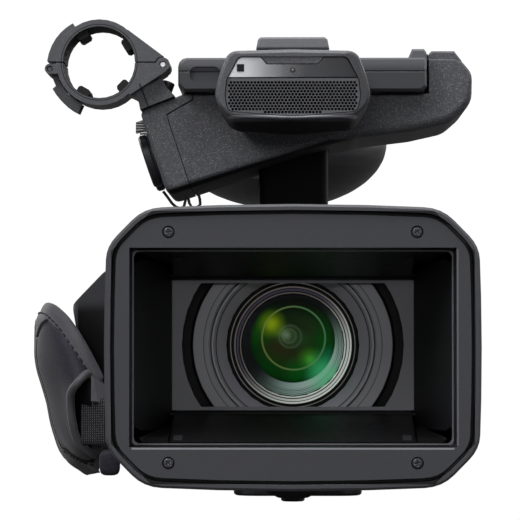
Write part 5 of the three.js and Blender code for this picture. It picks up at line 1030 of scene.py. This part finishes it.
# The holder's pin is painted near white for the glint on its end.
dress(["mic_holder_pin"], moulded("pin_painted_glint", grey(240), 0.3))
tab_metal = Finish("tab_metal")
ridge = (tab_metal.along("Z") * 6.0).sine().ease(-0.2, 0.5)
tab_metal.set(Base_Color=tab_metal.mix(ridge, shade(96, 96, 98), shade(244, 244, 246)))
tab_metal.set(Metallic=0.2, Roughness=0.3)
tab_metal.relief(ridge, 0.2)
dress(["xlr_release_1", "xlr_release_2"], tab_metal, 0.15)
dress(["accessory_shoe"], moulded("shoe_grey", grey(112), 0.42), 0.3)

# A black insert closes each socket, and three brass contacts stand on it.
SLANT_OUT = Vector((-0.949, 0, -0.3145))
SLANT_UP = Vector((-0.3145, 0, 0.949))
SOCKET_DEPTH = 9.5
CONTACT_CIRCLE = 4
CONTACT_PROFILE = [(0.6, 1.2), (0.6, 2.3), (1.15, 2.3), (1.2, 2.1), (1.2, 1.2)]
brass = moulded("contact_brass", shade(190, 160, 96), 0.3)
brass.set(Metallic=1.0)
for number, y in enumerate((-44, -12), 1):
    mouth = Vector((-54.5, y, 135.4))
    floor = mouth - SLANT_OUT * SOCKET_DEPTH
    piece(f"xlr_insert_{number}", release_black, "dark_plastic", *revolved(
        [(7.2, 1.6), (7.7, 1.3), (7.8, 0)], floor, SLANT_OUT))
    contacts = []
    for turn in (90, 210, 330):
        level, rise = polar(CONTACT_CIRCLE, turn)
        foot = floor + Vector((0, level, 0)) + SLANT_UP * rise
        contacts.append(revolved(CONTACT_PROFILE, foot, SLANT_OUT, 16))
    piece(f"xlr_contacts_{number}", brass, "silver", *joined(contacts))


# Screen
# A thin case of two mouldings that meet in a parting line. It lies face down on the handle and is
# hinged on a metal pin at its left edge.
PARTING = 167.8
panel = moulded("panel_plastic", grey(64), 0.42, drift=0.05)
height = panel.along("Z")
# Painted highlight: above the parting line the case is painted lighter towards its top bevel.
painted_top_light = height.ease(PARTING - 0.1, PARTING + 4)
panel_grey = panel.mix(painted_top_light, grey(62), grey(95))
parting_line = height.ring(PARTING, 0.35)
panel.set(Base_Color=panel.mix(parting_line, panel_grey, shade(14, 14, 16)))
panel.relief(1.0 - height.ring(PARTING, 0.5), 0.3)
dress(["screen_panel"], panel, 0.45)
screen_gloss = moulded("screen_gloss", shade(10, 11, 14), 0.06)
dress(["screen_glass"], screen_gloss)


# Microphone pod
# A moulded pod ahead of the handle, its face framed by a soft rim, with a recess that holds a
# perforated metal grille below a glossy strip. Painted shade darkens it towards its left side and below
# its lower rim, a painted highlight lines that rim, and its recess floor is painted near black.
RECESS_FLOOR = -109
RECESS_HALF_WIDTH = 25.7
RECESS_BOTTOM = 147.4
RECESS_TOP = 170
RIM_BOTTOM = 147.5
pod = Finish("pod_plastic")
sideways = pod.along("X")
back = pod.along("Y")
height = pod.along("Z")
pod.colour = grey(78)
pod.coat(pod.noise(1500).ease(0.4, 0.75) * 0.6, grey(108))
# Painted shade towards its left side, a painted highlight on its lower rim and painted shade below it.
pod.coat(sideways.ease(8, 28) * 0.55, grey(34))
pod.coat(height.ring(RIM_BOTTOM, 0.7) * (back < -104), grey(165))
painted_chin_shade = 1.0 - height.ease(RIM_BOTTOM - 1.9, RIM_BOTTOM - 0.7)
painted_pod_underside_shade = back.ease(-105, -98) * (1.0 - height.ease(148, 152))
pod.coat(painted_pod_underside_shade.larger(painted_chin_shade), shade(9, 9, 11))
# The recess floor behind the grille is painted near black for the shade there.
recess = (abs(back - RECESS_FLOOR) < 0.25) * (abs(sideways) < RECESS_HALF_WIDTH)
recess = recess * (height > RECESS_BOTTOM) * (height < RECESS_TOP)
pod.coat(recess, shade(3, 3, 4))
pod.set(Base_Color=pod.colour, Roughness=0.48)
pod.relief(pod.noise(1800), 0.04)
dress(["mic_pod"], pod, 0.5)

# The grille is a grey plate with rows of round holes, painted black inside for the shade in them.
# Below LEAN_START its sides lean in.
GRILLE_FRONT = -111.1
GRILLE_HALF_WIDTH = 24.65
GRILLE_BOTTOM = 147.6
LEAN_START = 153
SIDE_LEAN = 0.28
BOTTOM_BOW = 2
HOLE_PITCH = 1.3
HOLE_RADIUS = 0.57
HOLE_MARGIN = 0.62
TOP_ROW = 160.4
grille_metal = moulded("grille_metal", grey(70), 0.4, 0.01)
# Painted shade: behind its front face the grille is coloured black.
face = grille_metal.along("Y") < GRILLE_FRONT + 0.08
grille_metal.set(Base_Color=grille_metal.mix(face, shade(1, 1, 2), grey(92)))
dress(["mic_grille"], grille_metal)


def in_grille(x, z):
    """Whether a hole clears the grille's leaning sides and its bowed lower edge."""
    side = GRILLE_HALF_WIDTH - max(0, LEAN_START - z) * SIDE_LEAN
    bottom = GRILLE_BOTTOM + BOTTOM_BOW * abs(x) / GRILLE_HALF_WIDTH
    return abs(x) <= side and z - bottom >= HOLE_MARGIN


drills = []
for row in range(11):
    z = TOP_ROW - row * HOLE_PITCH * sqrt(0.75)
    for column in range(-22, 23):
        x = (column + 0.5 * (row % 2)) * HOLE_PITCH
        if in_grille(x, z):
            round_hole = [polar(HOLE_RADIUS, 45 * k, x, z) for k in range(8)]
            drills.append(prism(round_hole, GRILLE_FRONT - 1, GRILLE_FRONT + 3))
holes = piece("holes", release_black, "dark_plastic", *joined(drills), smooth=False)
perforated = placed("perforated_grille", nodes["mic_grille"].data.copy())
perforated.data.materials.clear()
perforated.data.materials.append(grille_metal.material)
modify(perforated, "WELD", merge_threshold=WELD_GAP)
carved(perforated, holes, "MANIFOLD")
perforated.data.shade_flat()
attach(perforated, "camera")
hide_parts("mic_grille")

# The strip's colour is a painted reflection: bright at its right end, fading dark towards its left.
strip_gloss = Finish("strip_gloss")
strip_gloss.set(
    Base_Color=strip_gloss.ramp(strip_gloss.along("X") + 25, 50, [
        (0, grey(224)), (8, grey(204)), (15, grey(150)), (22, grey(100)),
        (30, grey(66)), (50, grey(42)),
    ]),
    Roughness=0.16,
    Coat_Weight=0.3,
)
strip_gloss.relief(strip_gloss.noise(30), 0.02, 0.3)
dress(["mic_strip"], strip_gloss, 0.15)

# A square sensor window and a round record lamp sit in the strip.
STRIP_FRONT = -111.4
LAMP_PLACE = (0, STRIP_FRONT, 165.1)
sensor = piece("remote_sensor", screen_gloss, "gloss_plastic", *prism(
    rectangle(1.4, 1.4, -19.8, 165.9), STRIP_FRONT - 0.25, STRIP_FRONT + 0.3), smooth=False)
modify(sensor, "BEVEL", width=0.12 * MM, segments=2)
piece("lamp_ring", release_black, "dark_plastic", *revolved(
    [(0.55, 0.05), (0.62, 0.28), (0.85, 0.3), (0.95, 0.1), (0.95, -0.2)], LAMP_PLACE, (0, -1, 0)))
piece("record_lamp", moulded("lamp_lens", shade(132, 122, 124), 0.1), "red_plastic", *revolved(
    [(0.08, 0.32), (0.3, 0.28), (0.48, 0.16), (0.55, 0)], LAMP_PLACE, (0, -1, 0), 20))


# Microphone holder
# Two moulded jaws on a hinge pin, closed by a latch with a ridged paddle. Rubber pads line the jaws.
# The lower jaw's stalk meets a speckled foot in a leaning joint, and a screw clamps it.
HOLDER_X = -75.8
HOLDER_Z = 171.7
BORE_RADIUS = 14.15
FACE_FRONT = -71.3
STALK_TOP = 163.4
STALK_SIDE = -66
JOINT_X = -59.9
JOINT_Z = 163
JOINT_LEAN = 0.37
holder = Finish("holder_paint")
radius = holder.from_line(HOLDER_X, HOLDER_Z)
rubber = 1.0 - radius.ease(BORE_RADIUS, BORE_RADIUS + 0.15)
holder.colour = holder.mix(holder.noise(40), grey(76), grey(84))
holder.coat(holder.noise(1700).ease(0.45, 0.7) * 0.4, grey(104))
bore_line = radius.ring(BORE_RADIUS + 0.75, 0.35)
holder.coat(bore_line * (holder.along("Y") < FACE_FRONT), grey(26))
past_joint = (holder.along("X") - JOINT_X) + (holder.along("Z") - JOINT_Z) * JOINT_LEAN
on_stalk = (holder.along("Z") < STALK_TOP) * (holder.along("X") > STALK_SIDE)
speckles = holder.noise(1900).ease(0.5, 0.7)
holder.coat(on_stalk * (past_joint > 0.2) * speckles * 0.6, grey(130))
holder.coat(past_joint.ring(0.0, 0.6) * on_stalk, shade(10, 10, 12))
holder.coat(rubber, shade(20, 20, 22))
holder.set(Base_Color=holder.colour, Roughness=rubber * 0.34 + 0.46)
holder.relief(holder.noise(2200), 0.03)
dress(["mic_holder_upper_jaw", "mic_holder_lower_jaw", "mic_holder_latch"], holder, 0.35)


def arc(radius, start, end, steps=12):
    """Points round the holder's middle, from one angle in degrees to another."""
    return [polar(radius, start + (end - start) * k / steps, HOLDER_X, HOLDER_Z) for k in range(steps + 1)]


# A black strip in the gap beside the latch stands in for the shade in that gap.
piece("latch_gap_shade", release_black, "dark_plastic",
      *prism(arc(16.8, 197, 243) + arc(17.2, 243, 197), -66, -54), smooth=False)
piece("clamp_screw", release_black, "dark_plastic", *revolved(
    [(1.0, 2.4), (2.1, 2.2), (2.5, 1.8), (2.5, -1.8), (2.1, -2.2), (1.0, -2.4)],
    (-49.6, -61, 162.8), (0.35, 0, 0.94), 20))


# Viewfinder
# A moulded tube on a hinge behind the handle, with a large soft rubber eyecup pressed in one piece
# and pulled over its rear end.
dress(["viewfinder"], moulded("finder_plastic", grey(46), 0.5), 0.25)
eyecup_rubber = moulded("eyecup_rubber", grey(32), 0.45, 0.05)
eyecup_rubber.set(Sheen_Weight=0.2, Sheen_Roughness=0.4)
dress(["eyecup"], eyecup_rubber)
modify(nodes["eyecup"], "WELD", merge_threshold=WELD_GAP)
modify(nodes["eyecup"], "SUBSURF", levels=2)


# Studio
# A sweep of grey paper in a dim room, under soft lamps. The camera sees both as white, with a faint
# shadow below the object, and glass and gloss see a share of that white.
scene.view_settings.view_transform = "Standard"


def seen_white(nodes, lit, kind, share, in_gloss):
    """Shows white to the camera, a share of it in glass and gloss, and as lit for all else."""
    seen = nodes.node("LightPath", outlet="Is Camera Ray")
    mirrored = nodes.node("LightPath", outlet="Is Glossy Ray") + nodes.node(
        "LightPath", outlet="Is Transmission Ray")
    amount = (seen + mirrored * in_gloss).smaller(share)
    white = nodes.node(kind, values={0: (1, 1, 1), 1: 1.02})
    return nodes.node("MixShader", values={0: amount, 1: lit, 2: white})


world = bpy.data.worlds.new("studio")
scene.world = world
world.use_nodes = True
sky = Nodes(world.node_tree)
height = sky.node("SeparateXYZ", values={0: sky.node("TexCoord", outlet="Generated")}, outlet=2)
glow = sky.mix(height.ease(-0.3, 0.7), (0.015, 0.015, 0.018), (0.16, 0.165, 0.175))
lit = sky.node("Background", values={0: glow})
sky.feed(world.node_tree.nodes["World Output"].inputs[0], seen_white(sky, lit, "Background", 1.0, 0.35))

sweep_mesh = bpy.data.meshes.new("sweep")
sweep_mesh.from_pydata([(-6, -6, 0), (6, -6, 0), (6, 6, 0), (-6, 6, 0)], [], [(0, 1, 2, 3)])
sweep = placed("sweep", sweep_mesh)
sweep.location.z = -0.2 * MM
paper = Finish("paper", shine=0.1)
paper.set(Base_Color=(0.08, 0.08, 0.08), Roughness=0.9)
sweep_mesh.materials.append(paper.material)
shown = seen_white(paper, Value(paper, paper.surface.outputs[0]), "Emission", 0.985, 0.04)
paper.feed(paper.tree.nodes["Material Output"].inputs[0], shown)


AIM = Vector((0, 0, 0.09))


def lamp(name, place, size, watts, mirrored=True):
    """A soft rectangular lamp turned to the object's middle."""
    light = bpy.data.lights.new(name, "AREA")
    light.shape = "RECTANGLE"
    light.size, light.size_y = size
    light.energy = watts
    made = placed(name, light)
    made.location = place
    made.visible_glossy = mirrored
    made.rotation_euler = (AIM - Vector(place)).to_track_quat("-Z", "Y").to_euler()


lamp("key", (-1.0, -1.2, 1.3), (0.7, 0.7), 15)
lamp("front", (-0.1, -1.9, 0.4), (0.5, 0.3), 7, mirrored=False)
lamp("fill", (1.1, -0.9, 0.7), (0.5, 0.9), 1.5)
lamp("top", (0.0, -0.5, 1.5), (1.1, 0.6), 18)
lamp("back", (0.3, 1.3, 0.8), (1.2, 0.6), 6)
lamp("side", (1.4, 0.6, 0.6), (0.6, 0.9), 5)
lamp("rim", (-1.1, 1.1, 0.7), (0.4, 1.0), 5)
